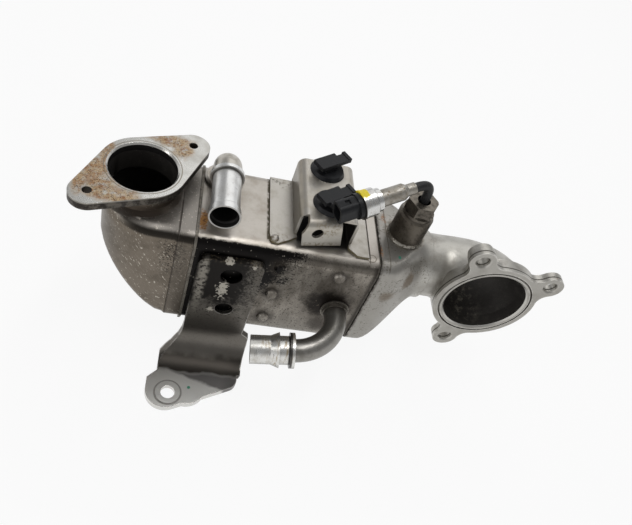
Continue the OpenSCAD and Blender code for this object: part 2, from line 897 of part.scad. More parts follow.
module upper_coolant_pipe() {
  inner_d = upper_d - 2 * upper_wall;
  color("#c4c3bf")
    difference() {
      union() {
        upper_run(upper_d, 0);
        translate([upper_x, upper_mouth + lip_len, upper_z])
          rotate([90, 0, 0])
            cylinder(d1 = upper_d, d2 = lip_d, h = lip_taper);
        translate([upper_x, upper_mouth + lip_len - lip_taper, upper_z])
          rotate([90, 0, 0])
            cylinder(d = lip_d, h = lip_len - lip_taper);
        translate([upper_x, ring_y + ring_w / 2, upper_z])
          rotate([90, 0, 0])
            cylinder(d = ring_d, h = ring_w);
      }
      upper_run(inner_d, over);
      translate([upper_x, upper_mouth + lip_len - lip_taper, upper_z])
        rotate([90, 0, 0])
          cylinder(d1 = inner_d, d2 = lip_d - 2 * upper_wall, h = lip_taper);
      translate([upper_x, upper_mouth + lip_len - 2 * lip_taper, upper_z])
        rotate([90, 0, 0])
          cylinder(d = lip_d - 2 * upper_wall, h = lip_len);
    }
}

module upper_pipe_collar() {
  color("#a59a84")
    translate([upper_x, upper_y, top_z])
      difference() {
        union() {
          cylinder(d = base_d, h = base_h - base_chamfer);
          translate([0, 0, base_h - base_chamfer])
            cylinder(d1 = base_d, d2 = base_d - 2 * base_chamfer, h = base_chamfer);
        }
        translate([0, 0, -over])
          cylinder(d = upper_d + 2 * fit, h = base_h + 2 * over);
      }
}

// Lower coolant pipe: out of the casing's front, round a bend to its spigot
module lower_place() {
  translate([lower_x, front_y, lower_z])
    rotate([0, -lower_tilt, 0])
      children();
}

module lower_run_form(d, past) {
  tail = sheet + pipe_dip + past;
  translate([0, tail, 0])
    rotate([90, 0, 0])
      cylinder(d = d, h = tail + lower_stub);
  translate([-lower_bend_r, -lower_stub, 0])
    rotate([0, 0, -90])
      rotate_extrude(angle = 90)
        translate([lower_bend_r, 0])
          circle(d = d);
  translate([-lower_bend_r, -lower_stub - lower_bend_r, 0])
    rotate([0, -90, 0])
      cylinder(d = d, h = lower_run - spigot_in + past);
}

module lower_coolant_pipe() {
  color("#a9a79f")
    lower_place()
      difference() {
        lower_run_form(lower_d, 0);
        lower_run_form(lower_d - 2 * lower_wall, over);
      }
}

module lower_pipe_collar() {
  color("#6c655a")
    translate([lower_x, front_y, lower_z])
      rotate([90, 0, 0])
        difference() {
          union() {
            cylinder(d = lower_base[0][0], h = lower_base[0][1]);
            cylinder(d = lower_base[1][0], h = lower_base[0][1] + lower_base[1][1]);
          }
          translate([0, 0, -over])
            cylinder(d = lower_d + 2 * fit, h = lower_stub);
        }
}

module lower_spigot() {
  color("#cfccc4")
    lower_place()
      translate([-lower_bend_r - lower_run, -lower_stub - lower_bend_r, 0])
        rotate([0, 90, 0])
          difference() {
            union() {
              cylinder(d = spigot_d, h = spigot_len);
              translate([0, 0, spigot_seat])
                cylinder(d1 = spigot_d, d2 = barb_d, h = barb_len);
              translate([0, 0, spigot_len - stop_len])
                cylinder(d = barb_d, h = stop_len);
            }
            translate([0, 0, -over])
              cylinder(d = lower_d - 2 * lower_wall, h = spigot_len + 2 * over);
            translate([0, 0, spigot_in - fit])
              cylinder(d = lower_d + 2 * fit, h = spigot_len);
          }
}

// Sensor bracket: a hat section with a holed tab turned down in front
module hat_section() {
  left = holder_x;
  right = holder_x + holder_w;
  difference() {
    translate([(left + right) / 2, holder_z - holder_h])
      round_rect(holder_w, 2 * holder_h, holder_r);
    translate([(left + right) / 2, holder_z - holder_h])
      round_rect(holder_w - 2 * holder_t, 2 * (holder_h - holder_t), holder_r - holder_t);
    translate([left - over, top_z - 2 * holder_h])
      square([holder_w + 2 * over, 2 * holder_h]);
  }
}

module front_tab() {
  deep = holder_y[0] - tab_y + tab_root;
  along_x(tab_x[0], tab_x[1] - tab_x[0])
    difference() {
      translate([tab_y + deep, holder_z - holder_h])
        round_rect(2 * deep, 2 * holder_h, holder_r);
      translate([tab_y + deep, holder_z - holder_h])
        round_rect(2 * (deep - holder_t), 2 * (holder_h - holder_t), holder_r - holder_t);
      translate([tab_y + deep, holder_z - 3 * holder_h])
        square([2 * deep, 4 * holder_h]);
      translate([tab_y - over, holder_z - tab_drop - 2 * holder_h])
        square([3 * deep, 2 * holder_h]);
    }
}

module turned_tab() {
  translate([tab_hole[0], tab_y, 0])
    rotate([0, 0, tab_turn])
      translate([-tab_hole[0], -tab_y, 0])
        children();
}

module sensor_bracket() {
  color("#bdb7a8")
    difference() {
      union() {
        towards_front(holder_y[1], holder_y[1] - holder_y[0])
          hat_section();
        translate([holder_x - left_foot[0], 0, top_z])
          linear_extrude(holder_t)
            polygon(concat(
              [[0, left_foot[1]]], left_toe,
              [
                [left_foot[0] + holder_t, left_foot[1]],
                [left_foot[0] + holder_t, foot_back], [0, foot_back]
              ]
            ));
        translate([holder_x - left_foot[0] + toe_weld_at[0], toe_weld_at[1], top_z + toe_weld_z]) {
          cylinder(d1 = toe_weld_d[0], d2 = toe_weld_d[1], h = toe_weld_h[0]);
          translate([0, 0, toe_weld_h[0]])
            cylinder(d1 = toe_weld_d[1], d2 = toe_weld_d[2], h = toe_weld_h[1]);
        }
        translate([holder_x + holder_w - holder_t, 0, top_z])
          linear_extrude(holder_t)
            polygon([
              [0, right_foot[1] + foot_cut], [right_foot[0] / 2, right_foot[1]],
              [right_foot[0] + holder_t, right_foot[1]], [right_foot[0] + holder_t, foot_back],
              [0, foot_back]
            ]);
        intersection() {
          turned_tab()
            front_tab();
          towards_front(holder_y[0], 2 * holder_h)
            polygon([
              [holder_x + tab_left[2], top_z], [holder_x + holder_w - tab_slope[0], top_z],
              [holder_x + holder_w - tab_slope[1], holder_z + over],
              [holder_x + tab_left[0], holder_z + over],
              [holder_x + tab_left[1], holder_z - tab_bulge]
            ]);
        }
      }
      turned_tab()
        translate([tab_hole[0], tab_y + holder_r, tab_hole[1]])
          rotate([90, 0, 0])
            cylinder(d = tab_hole_d, h = 2 * holder_r);
      for (spot = clip_spots)
        translate([spot[0], spot[1], holder_z - 2 * holder_t])
          cylinder(d = clip_hole_d, h = 3 * holder_t);
    }
}

// Plastic clips: a disc on the bracket, a stem through it and a slide above
module clip(spot) {
  color("#26262a")
    translate([spot[0], spot[1], holder_z]) {
      cylinder(d1 = clip_d, d2 = clip_d - disc_h, h = disc_h);
      translate([0, 0, -stem_len])
        cylinder(d = clip_hole_d - 2 * fit, h = stem_len);
      rotate([0, 0, clip_turn]) {
        translate([-clip_neck[0] / 2, -clip_neck[1] / 2, 0])
          cube([clip_neck[0], clip_neck[1], disc_h + clip_neck[2]]);
        translate([slide_shift - slide[0] / 2, -slide[1] / 2, slide_z - holder_z])
          difference() {
            cube(slide);
            translate([slide[0] - tongue[0] - slide_notch[0], slide[1] - slide_notch[1], -over])
              cube([slide_notch[0], slide_notch[1] + over, slide[2] + 2 * over]);
            translate([slide[0] - tongue[0] - over, slide[1] - tongue[2], -over])
              cube([tongue[0] + 2 * over, tongue[2] + over, slide[2] + 2 * over]);
          }
        translate([slide_shift + slide[0] / 2 - tongue[0], -slide[1] / 2, slide_z - holder_z])
          cube([tongue[0], slide[1] - tongue[2], slide[2] + tongue[1]]);
      }
    }
}

module rear_clip() {
  clip(clip_spots[0]);
}

module front_clip() {
  clip(clip_spots[1]);
}

// Sensor boss, nut, probe and lead
module sensor_boss() {
  color("#4f4a42")
    translate([boss_at[0], boss_at[1], 0])
      difference() {
        union() {
          translate([0, 0, top_z - boss_dip])
            cylinder(d = boss_d, h = boss_z - boss_chamfer - top_z + boss_dip);
          translate([0, 0, boss_z - boss_chamfer])
            cylinder(d1 = boss_d, d2 = boss_d - 2 * boss_chamfer, h = boss_chamfer);
          translate([0, 0, top_z])
            cylinder(d1 = weld_d, d2 = boss_d, h = weld_h);
        }
        translate([0, 0, top_z - 2 * boss_dip])
          cylinder(d = thread_d, h = boss_h + 3 * boss_dip);
      }
}

module sensor_nut() {
  color("#7a746a")
    translate([boss_at[0], boss_at[1], 0])
      difference() {
        union() {
          translate([0, 0, boss_z - shank_len])
            cylinder(d = thread_d - 2 * fit, h = shank_len);
          translate([0, 0, boss_z])
            cylinder(d = nut_washer[0], h = nut_washer[1]);
          translate([0, 0, nut_z])
            intersection() {
              cylinder(d = nut_af / cos(30), h = nut_h, $fn = 6);
              cylinder(d1 = nut_af / cos(30) + nut_h, d2 = nut_af * nut_bevel, h = nut_h);
            }
        }
        translate([0, 0, boss_z - 2 * shank_len])
          cylinder(d = probe_d + 2 * fit, h = 4 * shank_len);
        translate([0, 0, nut_top - lead_dip])
          cylinder(d = nut_recess_d, h = lead_dip + over);
      }
}

module sensor_probe() {
  color("#8b867c")
    translate([boss_at[0], boss_at[1], nut_top - lead_dip - probe_len]) {
      translate([0, 0, probe_d / 2])
        cylinder(d = probe_d, h = probe_len - probe_d / 2);
      translate([0, 0, probe_d / 2])
        sphere(d = probe_d);
    }
}

module sensor_lead() {
  last = len(lead_route) - 1;
  color("#1e1d1e")
    loft([
      for (i = [0:last])
        let (
          run = unit(lead_route[min(i + 1, last)] - lead_route[max(i - 1, 0)]),
          across = unit(cross(run, lead_side)),
          up = cross(run, across)
        )
        [for (j = [0:lead_sides - 1])
          lead_route[i] + lead_d / 2
            * (across * cos(360 * j / lead_sides) + up * sin(360 * j / lead_sides))]
    ], false);
}

// Sensor body along its own axis: connector, ferrule, sleeve and crimp
module on_sensor_axis(s) {
  translate(sensor_point(s))
    rotate([0, -sensor_climb, sensor_turn])
      rotate([90, 0, 90])
        children();
}

module lead_crimp() {
  color("#8f887b")
    on_sensor_axis(crimp_s)
      difference() {
        cylinder(d = crimp_d, h = crimp_len);
        translate([0, 0, crimp_len - crimp_in])
          cylinder(d = lead_d + 2 * fit, h = crimp_in + over);
      }
}

module sensor_sleeve() {
  color("#9c978c")
    on_sensor_axis(sleeve_s) {
      cylinder(d = sleeve_d, h = sleeve_len - sleeve_nose);
      translate([0, 0, sleeve_len - sleeve_nose])
        cylinder(d1 = sleeve_d, d2 = crimp_d, h = sleeve_nose);
      translate([-seam[0] / 2, -sleeve_d / 2 - seam[1], 0])
        cube([seam[0], sleeve_d / 2 + seam[1], sleeve_len - sleeve_nose - seam[1]]);
    }
}

module sensor_ferrule() {
  color("#b9b8b4")
    on_sensor_axis(cup_s) {
      cylinder(d = cup_d + 2 * cup_rim[0], h = cup_rim[1]);
      cylinder(d = cup_d, h = cup_len);
      translate([0, 0, cup_len])
        cylinder(d1 = cup_d, d2 = ferrule_d, h = cup_taper);
      translate([0, 0, cup_len + cup_taper])
        cylinder(d = ferrule_d, h = ferrule_len);
    }
}

module terminal_spot(side) {
  translate([0, side * terminal_gap / 2, body_len - terminal[2] / 2])
    children();
}

module sensor_connector() {
  color("#232327")
    difference() {
      union() {
        on_sensor_axis(0) {
          linear_extrude(body_len)
            round_rect(body_size[0], body_size[1], body_r);
          translate([0, 0, flange_s])
            cylinder(d = flange_d, h = flange_len);
        }
        translate([mouth_at[0], mouth_at[1], slide_z])
          rotate([0, 0, clip_turn])
            translate([rail[0], 0, 0])
              cube([rail[1], rail_reach(), rail[2]]);
      }
      on_sensor_axis(0) {
        translate([0, 0, -over])
          linear_extrude(socket_len + over)
            round_rect(socket_size[0], socket_size[1], body_r - (body_size[0] - socket_size[0]) / 2);
        translate([-latch[0] / 2, body_size[1] / 2 - latch[1], latch[3]])
          cube([latch[0], latch[1] + over, latch[2]]);
        for (side = [-1, 1])
          terminal_spot(side)
            terminal_bar(fit);
      }
    }
}

// Distance from the sensor's axis to the near edge of the front clip's slide
function rail_reach() =
  let (d = clip_spots[1] - mouth_at)
  d[1] * cos(clip_turn) - d[0] * sin(clip_turn) - slide[1] / 2;

module terminal_bar(grow) {
  translate([-terminal[0] / 2 - grow, -terminal[1] / 2 - grow, -terminal[2] / 2])
    cube([terminal[0] + 2 * grow, terminal[1] + 2 * grow, terminal[2]]);
}

module terminal_1() {
  color("#b08d4c")
    on_sensor_axis(0)
      terminal_spot(-1)
        terminal_bar(0);
}

module terminal_2() {
  color("#b08d4c")
    on_sensor_axis(0)
      terminal_spot(1)
        terminal_bar(0);
}

inlet_flange();
inlet_hood();
inlet_tube_plate();
casing();
outlet_tube_plate();
outlet_header();
outlet_elbow();
support_bracket();
upper_coolant_pipe();
upper_pipe_collar();
lower_coolant_pipe();
lower_pipe_collar();
lower_spigot();
sensor_bracket();
rear_clip();
front_clip();
sensor_boss();
sensor_nut();
sensor_probe();
sensor_lead();
lead_crimp();
sensor_sleeve();
sensor_ferrule();
sensor_connector();
terminal_1();
terminal_2();
for (i = [1:tube_count])
  gas_tube(i);
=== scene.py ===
"""EGR cooler: finishes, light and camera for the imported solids."""

import json
import math

import bmesh
import bpy
from mathutils import Matrix, Vector
from mathutils.bvhtree import BVHTree

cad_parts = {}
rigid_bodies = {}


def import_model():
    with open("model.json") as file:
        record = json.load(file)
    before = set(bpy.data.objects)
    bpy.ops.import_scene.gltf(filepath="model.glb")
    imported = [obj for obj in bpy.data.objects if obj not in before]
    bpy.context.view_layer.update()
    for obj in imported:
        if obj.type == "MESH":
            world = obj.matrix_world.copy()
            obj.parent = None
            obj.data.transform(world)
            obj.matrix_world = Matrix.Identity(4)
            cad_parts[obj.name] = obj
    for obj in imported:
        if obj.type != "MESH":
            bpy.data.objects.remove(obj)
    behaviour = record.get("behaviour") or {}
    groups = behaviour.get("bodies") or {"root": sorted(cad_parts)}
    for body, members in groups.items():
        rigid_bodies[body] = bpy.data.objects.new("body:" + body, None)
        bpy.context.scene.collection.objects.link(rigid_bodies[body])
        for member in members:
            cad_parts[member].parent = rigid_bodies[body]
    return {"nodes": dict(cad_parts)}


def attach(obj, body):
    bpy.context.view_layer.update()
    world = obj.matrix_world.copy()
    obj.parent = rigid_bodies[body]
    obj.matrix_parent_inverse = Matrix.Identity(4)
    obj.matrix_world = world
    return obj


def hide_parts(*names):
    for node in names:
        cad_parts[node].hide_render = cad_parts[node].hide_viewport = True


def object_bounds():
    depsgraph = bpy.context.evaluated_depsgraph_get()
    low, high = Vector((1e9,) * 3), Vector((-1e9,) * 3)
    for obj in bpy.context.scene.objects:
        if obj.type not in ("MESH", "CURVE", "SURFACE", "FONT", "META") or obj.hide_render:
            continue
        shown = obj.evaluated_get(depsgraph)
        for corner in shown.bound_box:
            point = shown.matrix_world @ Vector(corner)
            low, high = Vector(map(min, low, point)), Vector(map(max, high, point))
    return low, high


for old in list(bpy.data.objects):
    bpy.data.objects.remove(old)

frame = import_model()
cad_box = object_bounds()
nodes = frame["nodes"]
scene = bpy.context.scene

# The scene is in metres, places and sizes on the part are in millimetres
MM = 1000.0


def heading(turn, climb):
    """Unit vector turned from +X towards +Y and climbing towards +Z, both in degrees."""
    turn = math.radians(turn)
    climb = math.radians(climb)
    level = math.cos(climb)
    return (level * math.cos(turn), level * math.sin(turn), math.sin(climb))


# Places on the part in the row frame: points on the axes of round pieces, and ways along them
ALONG_Y = (0, 1, 0)
ALONG_Z = (0, 0, 1)
INLET = (0, 0, 0)
OUTLET = (219, 0, -39)
UPPER_PIPE = (45.5, 0, -1)
LOWER_PIPE = (124.5, 0, -59)
LOWER_PIPE_RUN = heading(0, 9)
SENSOR = (158.2, 0, 0)
CONNECTOR = (103.7, -22.4, 13.0)
CONNECTOR_RUN = heading(23.4, 13.9)
FOOT_HOLE = (33, -72.2, 0)
FLANGE_HOLES = ((-24.75, -24.75, 0), (24.75, 24.75, 0))
DIMPLES = [(x, -33, z) for x in (83, 118) for z in (-28.5, -52.2, -75.9)]
BEAD_MARK = (134.3, -24.9, 0)

# Camera, fitted to the photograph in the row frame; width and focal length in pixels
IMAGE_WIDTH = 632.0
FOCAL_LENGTH = 644.68
SENSOR_WIDTH = 36.0
CAMERA_AT = (0.014, -0.267, 0.2445)
CAMERA_RIGHT = Vector((0.9587, -0.0387, 0.2818)).normalized()
CAMERA_LIFT = Vector((-0.1542, 0.7617, 0.6294)).normalized()

camera_back = CAMERA_RIGHT.cross(CAMERA_LIFT).normalized()
camera_up = camera_back.cross(CAMERA_RIGHT)
camera_data = bpy.data.cameras.new("camera")
camera_data.sensor_fit = "HORIZONTAL"
camera_data.sensor_width = SENSOR_WIDTH
camera_data.lens = SENSOR_WIDTH * FOCAL_LENGTH / IMAGE_WIDTH
camera_data.clip_start = 0.01
camera = bpy.data.objects.new("camera", camera_data)
scene.collection.objects.link(camera)
camera_turn = Matrix((CAMERA_RIGHT, camera_up, camera_back)).transposed().to_4x4()
camera.matrix_world = Matrix.Translation(CAMERA_AT) @ camera_turn
scene.camera = camera

# Skins: slots of their faces, the bend that still counts as one surface, the bend at a face without
# a normal, and the weld in metres
OUTSIDE = 0
INSIDE = 1
SMOOTH_BEND = math.radians(40)
NO_NORMAL = 3.0
WELD = 2e-6


def seen_from(points, face, tree):
    """True where a face is seen from one of the points."""
    middle = face.calc_center_median()
    for start in points:
        if tree.ray_cast(start, (middle - start).normalized())[2] == face.index:
            return True
    return False


def mark_inside(bm, probes):
    """Puts the faces that the probes reach in the inside slot, with the smooth surface they lie on."""
    bm.faces.index_update()
    bm.faces.ensure_lookup_table()
    bm.normal_update()
    tree = BVHTree.FromBMesh(bm)
    points = [Vector(point) / MM for point, _ in probes]
    for face in bm.faces:
        face.material_index = OUTSIDE
    for start, (_, way) in zip(points, probes):
        hit = tree.ray_cast(start, Vector(way))[2]
        todo = [bm.faces[hit]] if hit is not None else []
        while todo:
            face = todo.pop()
            face.material_index = INSIDE
            for edge in face.edges:
                for other in edge.link_faces:
                    bend = other.normal.angle(face.normal, NO_NORMAL)
                    if other.material_index == OUTSIDE and bend < SMOOTH_BEND:
                        todo.append(other)
    for face in bm.faces:
        if face.material_index == INSIDE and not seen_from(points, face, tree):
            face.material_index = OUTSIDE


def smoothed(node, crease, probes):
    """A copy of a faceted solid in its node's place: the same shape, shaded as one skin."""
    mesh = bpy.data.meshes.new(node + "_skin")
    bm = bmesh.new()
    bm.from_mesh(nodes[node].data)
    bmesh.ops.remove_doubles(bm, verts=bm.verts, dist=WELD)
    mark_inside(bm, probes)
    bm.to_mesh(mesh)
    bm.free()
    for name in list(mesh.attributes.keys()):
        if name in {"custom_normal", "sharp_edge", "sharp_face"}:
            mesh.attributes.remove(mesh.attributes[name])
    mesh.polygons.foreach_set("use_smooth", [True] * len(mesh.polygons))
    mesh.set_sharp_from_angle(angle=math.radians(crease))
    piece = bpy.data.objects.new(node + "_skin", mesh)
    scene.collection.objects.link(piece)
    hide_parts(node)
    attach(piece, "root")
    return piece


# Probes look from points in the two gas mouths to the sides, and on into the part
ACROSS = ((1, 0, 0), (-1, 0, 0))
FORE_AND_AFT = ((0, 1, 0), (0, -1, 0))
UP_AND_DOWN = ((0, 0, 1), (0, 0, -1))
HOOD_PROBES = [((0, 0, z), way) for z in (-8, -14, -45) for way in ACROSS + FORE_AND_AFT]
HOOD_PROBES.append(((0, 0, -30), (0, 0, -1)))
ELBOW_PROBES = [((OUTLET[0], y, OUTLET[2]), way) for y in (-20, -8) for way in ACROSS + UP_AND_DOWN]
ELBOW_PROBES.append(((OUTLET[0], -15, OUTLET[2]), (0, 1, 0)))
PROBES = {"inlet_hood": HOOD_PROBES, "outlet_elbow": ELBOW_PROBES}

# Each skin's slot in the record and its crease angle in degrees
SKINS = {
    "inlet_hood": ("hood_steel", 38),
    "outlet_header": ("cast_steel", 22),
    "outlet_elbow": ("cast_steel", 38),
    "sensor_lead": ("lead_rubber", 60),
}
skins = {}
for name, (slot, crease) in SKINS.items():
    skins[name] = smoothed(name, crease, PROBES.get(name, ()))

# Sockets of the mix node: first value, second value, result
MIX_SOCKETS = {"FLOAT": (2, 3, 0), "RGBA": (6, 7, 2)}
BEVEL_SAMPLES = 4
OCCLUSION_SAMPLES = 6
SEED_STEPS = (1.0, 0.7, 1.3)


class Finish:
    """A node material in layers, over the row frame's own coordinates in millimetres.

    A mask is a socket between 0 and 1. The finish functions below call the one they build f.
    """

    def __init__(self, name, color, rough, metal, edge):
        self.mat = bpy.data.materials.new(name)
        self.mat.use_nodes = True
        self.tree = self.mat.node_tree
        self.tree.nodes.clear()
        self.bsdf = self.add("ShaderNodeBsdfPrincipled")
        surface = self.add("ShaderNodeOutputMaterial").inputs["Surface"]
        self.put(surface, self.bsdf.outputs["BSDF"])
        grow = self.add("ShaderNodeVectorMath", operation="SCALE")
        grow.inputs["Scale"].default_value = MM
        self.put(grow.inputs[0], self.add("ShaderNodeTexCoord").outputs["Object"])
        self.at = grow.outputs[0]
        self.x, self.y, self.z = self.parts(self.at)
        self.nx, self.ny, self.nz = self.parts(self.add("ShaderNodeNewGeometry").outputs["Normal"])
        self.color = color
        self.rough = rough
        self.metal = metal
        self.normal = None
        if edge:
            bevel = self.add("ShaderNodeBevel", samples=BEVEL_SAMPLES)
            bevel.inputs["Radius"].default_value = edge / MM
            self.normal = bevel.outputs["Normal"]

    def add(self, kind, **values):
        """A new node with these settings."""
        node = self.tree.nodes.new(kind)
        for key, value in values.items():
            setattr(node, key, value)
        return node

    def put(self, socket, value):
        """Links a socket or sets a constant."""
        if hasattr(value, "is_output"):
            self.tree.links.new(value, socket)
        elif socket.type == "RGBA":
            socket.default_value = (*value, 1.0)
        else:
            socket.default_value = value

    def parts(self, vector):
        """The three parts of a vector."""
        split = self.add("ShaderNodeSeparateXYZ")
        self.put(split.inputs[0], vector)
        return split.outputs

    def math(self, operation, *values):
        """A sum on single values."""
        node = self.add("ShaderNodeMath", operation=operation)
        for socket, value in zip(node.inputs, values):
            self.put(socket, value)
        return node.outputs[0]

    def vector(self, operation, *values, result="Vector"):
        """A sum on vectors."""
        node = self.add("ShaderNodeVectorMath", operation=operation)
        for socket, value in zip(node.inputs, values):
            self.put(socket, value)
        return node.outputs[result]

    def span(self, value, low, high, to_low=0.0, to_high=1.0, kind="SMOOTHSTEP"):
        """0 at low and 1 at high, whichever of them is the larger number."""
        node = self.add("ShaderNodeMapRange", interpolation_type=kind, clamp=True)
        for socket, number in zip(node.inputs, (value, low, high, to_low, to_high)):
            self.put(socket, number)
        return node.outputs[0]

    def between(self, value, rise, fall):
        """1 between two bounds, each given by where it is 0 and where it is 1."""
        return self.both(self.span(value, *rise), self.span(value, *fall))

    def near(self, value, place, outer, inner):
        """1 within inner of a place, 0 beyond outer."""
        return self.span(self.math("ABSOLUTE", self.math("SUBTRACT", value, place)), outer, inner)

    def noise(self, size, detail, rough, stretch=(1, 1, 1), turn=(0, 0, 0), seed=0.0):
        """Noise with grains of this size; the seed moves it aside."""
        place = self.add("ShaderNodeMapping", vector_type="TEXTURE")
        self.put(place.inputs["Vector"], self.at)
        place.inputs["Location"].default_value = [seed * step for step in SEED_STEPS]
        place.inputs["Rotation"].default_value = [math.radians(angle) for angle in turn]
        place.inputs["Scale"].default_value = stretch
        node = self.add("ShaderNodeTexNoise")
        self.put(node.inputs["Vector"], place.outputs[0])
        node.inputs["Scale"].default_value = 1.0 / size
        node.inputs["Detail"].default_value = detail
        node.inputs["Roughness"].default_value = rough
        return node.outputs[0]

    def patches(self, size, low, high, seed, detail=4.0, rough=0.6, **shape):
        """1 where a noise passes from low to high."""
        return self.span(self.noise(size, detail, rough, seed=seed, **shape), low, high)

    def specks(self, size, low, high, seed):
        """Patches with few details, for sparse dots."""
        return self.patches(size, low, high, seed, detail=2.0)

    def swing(self, value, reach, noise):
        """A value that a noise pushes up and down over this reach."""
        return self.math("MULTIPLY_ADD", self.math("SUBTRACT", noise, 0.5), reach, value)

    def blob(self, centre, radii, soft, wobble, size, seed):
        """1 inside an ellipsoid whose edge is broken up by noise."""
        inner = self.vector("DIVIDE", self.vector("SUBTRACT", self.at, centre), radii)
        far = self.vector("LENGTH", inner, result="Value")
        ragged = self.swing(far, wobble * 2.0, self.noise(size, 5.0, 0.62, seed=seed))
        return self.span(ragged, 1.0 + soft, 1.0 - soft)

    def off_axis(self, point, direction):
        """Distance from a line through a point, in millimetres."""
        move = self.vector("SUBTRACT", self.at, point)
        turned = self.vector("CROSS_PRODUCT", move, direction)
        return self.vector("LENGTH", turned, result="Value")

    def along(self, point, direction):
        """Distance along a line from a point, in millimetres."""
        move = self.vector("SUBTRACT", self.at, point)
        return self.vector("DOT_PRODUCT", move, direction, result="Value")

    def occlusion(self, reach, inside):
        """How open the surface is within a reach in millimetres, outwards or into the solid."""
        node = self.add("ShaderNodeAmbientOcclusion", samples=OCCLUSION_SAMPLES, inside=inside)
        node.inputs["Distance"].default_value = reach / MM
        return node.outputs["AO"]

    def corners(self, reach):
        """1 in inner corners, where another wall stands within reach."""
        return self.span(self.occlusion(reach, False), 0.72, 0.3)

    def edges(self, reach):
        """1 along outer edges, where the solid ends within reach."""
        return self.span(self.occlusion(reach, True), 0.88, 0.6)

    def upward(self):
        """1 on faces that look up."""
        return self.span(self.nz, 0.6, 0.9)

    def both(self, first, *others):
        """Where all the masks are."""
        for mask in others:
            first = self.math("MULTIPLY", first, mask)
        return first

    def either(self, first, *others):
        """Where any of the masks is."""
        for mask in others:
            first = self.math("MAXIMUM", first, mask)
        return first

    def off(self, mask):
        """Where a mask isn't."""
        return self.math("SUBTRACT", 1.0, mask)

    def mix(self, kind, mask, under, over, blend="MIX"):
        """Goes from one value to another along a mask."""
        node = self.add("ShaderNodeMix", data_type=kind, blend_type=blend)
        low, high, result = MIX_SOCKETS[kind]
        for index, value in ((0, mask), (low, under), (high, over)):
            self.put(node.inputs[index], value)
        return node.outputs[result]

    def layer(self, mask, color=None, rough=None, metal=None, amount=1.0):
        """Lays a colour, roughness and metal over what is there."""
        if amount != 1.0:
            mask = self.math("MULTIPLY", mask, amount)
        if color is not None:
            self.color = self.mix("RGBA", mask, self.color, color)
        if rough is not None:
            self.rough = self.mix("FLOAT", mask, self.rough, rough)
        if metal is not None:
            self.metal = self.mix("FLOAT", mask, self.metal, metal)

    def shade(self, mask, low, high):
        """Makes the colour darker or lighter along a mask."""
        tone = self.span(mask, 0.0, 1.0, low, high, "LINEAR")
        grey = self.add("ShaderNodeCombineColor")
        for socket in grey.inputs:
            self.put(socket, tone)
        self.color = self.mix("RGBA", 1.0, self.color, grey.outputs[0], blend="MULTIPLY")

    def bump(self, height, depth, strength):
        """Relief of this depth in millimetres."""
        node = self.add("ShaderNodeBump")
        node.inputs["Strength"].default_value = strength
        node.inputs["Distance"].default_value = depth / MM
        self.put(node.inputs["Height"], height)
        if self.normal is not None:
            self.put(node.inputs["Normal"], self.normal)
        self.normal = node.outputs["Normal"]

    def done(self):
        """The material, with its layers on the shader."""
        self.put(self.bsdf.inputs["Base Color"], self.color)
        self.put(self.bsdf.inputs["Roughness"], self.rough)
        self.put(self.bsdf.inputs["Metallic"], self.metal)
        if self.normal is not None:
            self.put(self.bsdf.inputs["Normal"], self.normal)
        return self.mat


# Colours that come back in several layers
SOOT = (0.012, 0.011, 0.0105)
HAT_SHADOW = (0.016, 0.014, 0.012)
GROOVE_AND_SHADOW_LINE = (0.06, 0.052, 0.043)
RUST = (0.3, 0.125, 0.035)
RUST_DARK = (0.1, 0.05, 0.024)
PIPE_GREY = (0.36, 0.35, 0.33)

# Reach of the painted shade and grime in corners and of the painted highlight along edges
CORNER_REACH = 6.0
EDGE_HIGHLIGHT_REACH = 0.9


def darker(color, share):
    """The same hue at a share of its brightness."""
    return tuple(channel * share for channel in color)


def worn_steel(name, color, dark, rough, metal, blotch, seed,
               grain=0.02, edge=0.35, pepper=0.4, grime_and_shade=0.75):
    """Steel with cloudy tarnish, fine pepper, painted shade and grime in its corners and a slightly uneven
    skin.
    """
    f = Finish(name, color, rough, metal, edge)
    f.layer(f.patches(blotch, 0.42, 0.72, seed, detail=5.0), dark, rough=rough + 0.1)
    fine = f.noise(0.55, 3.0, 0.7, seed=seed + 3)
    f.shade(fine, 0.84, 1.16)
    f.layer(f.specks(0.7, 0.67, 0.73, seed + 8), darker(dark, 0.35), rough=0.6, amount=pepper)
    f.rough = f.swing(f.rough, 0.15, fine)
    # Painted shade in inner corners, with the grime that gathers there
    f.layer(f.corners(CORNER_REACH), darker(dark, 0.3), rough=rough + 0.2, amount=grime_and_shade)
    f.bump(f.noise(3.0, 3.0, 0.5, seed=seed + 5), depth=0.12, strength=0.3)
    f.bump(fine, depth=grain, strength=0.6)
    return f


def small_steel(name, color, dark, rough, metal, seed, dirt=0.7):
    """Worn steel for small pieces, with finer clouds and more dirt."""
    f = worn_steel(name, color, dark, rough, metal, blotch=5.0, seed=seed, edge=0.25)
    patches = f.patches(2.0, 0.5, 0.68, seed + 1, detail=5, rough=0.7)
    f.layer(patches, darker(dark, 0.4), rough=0.55, amount=dirt)
    return f


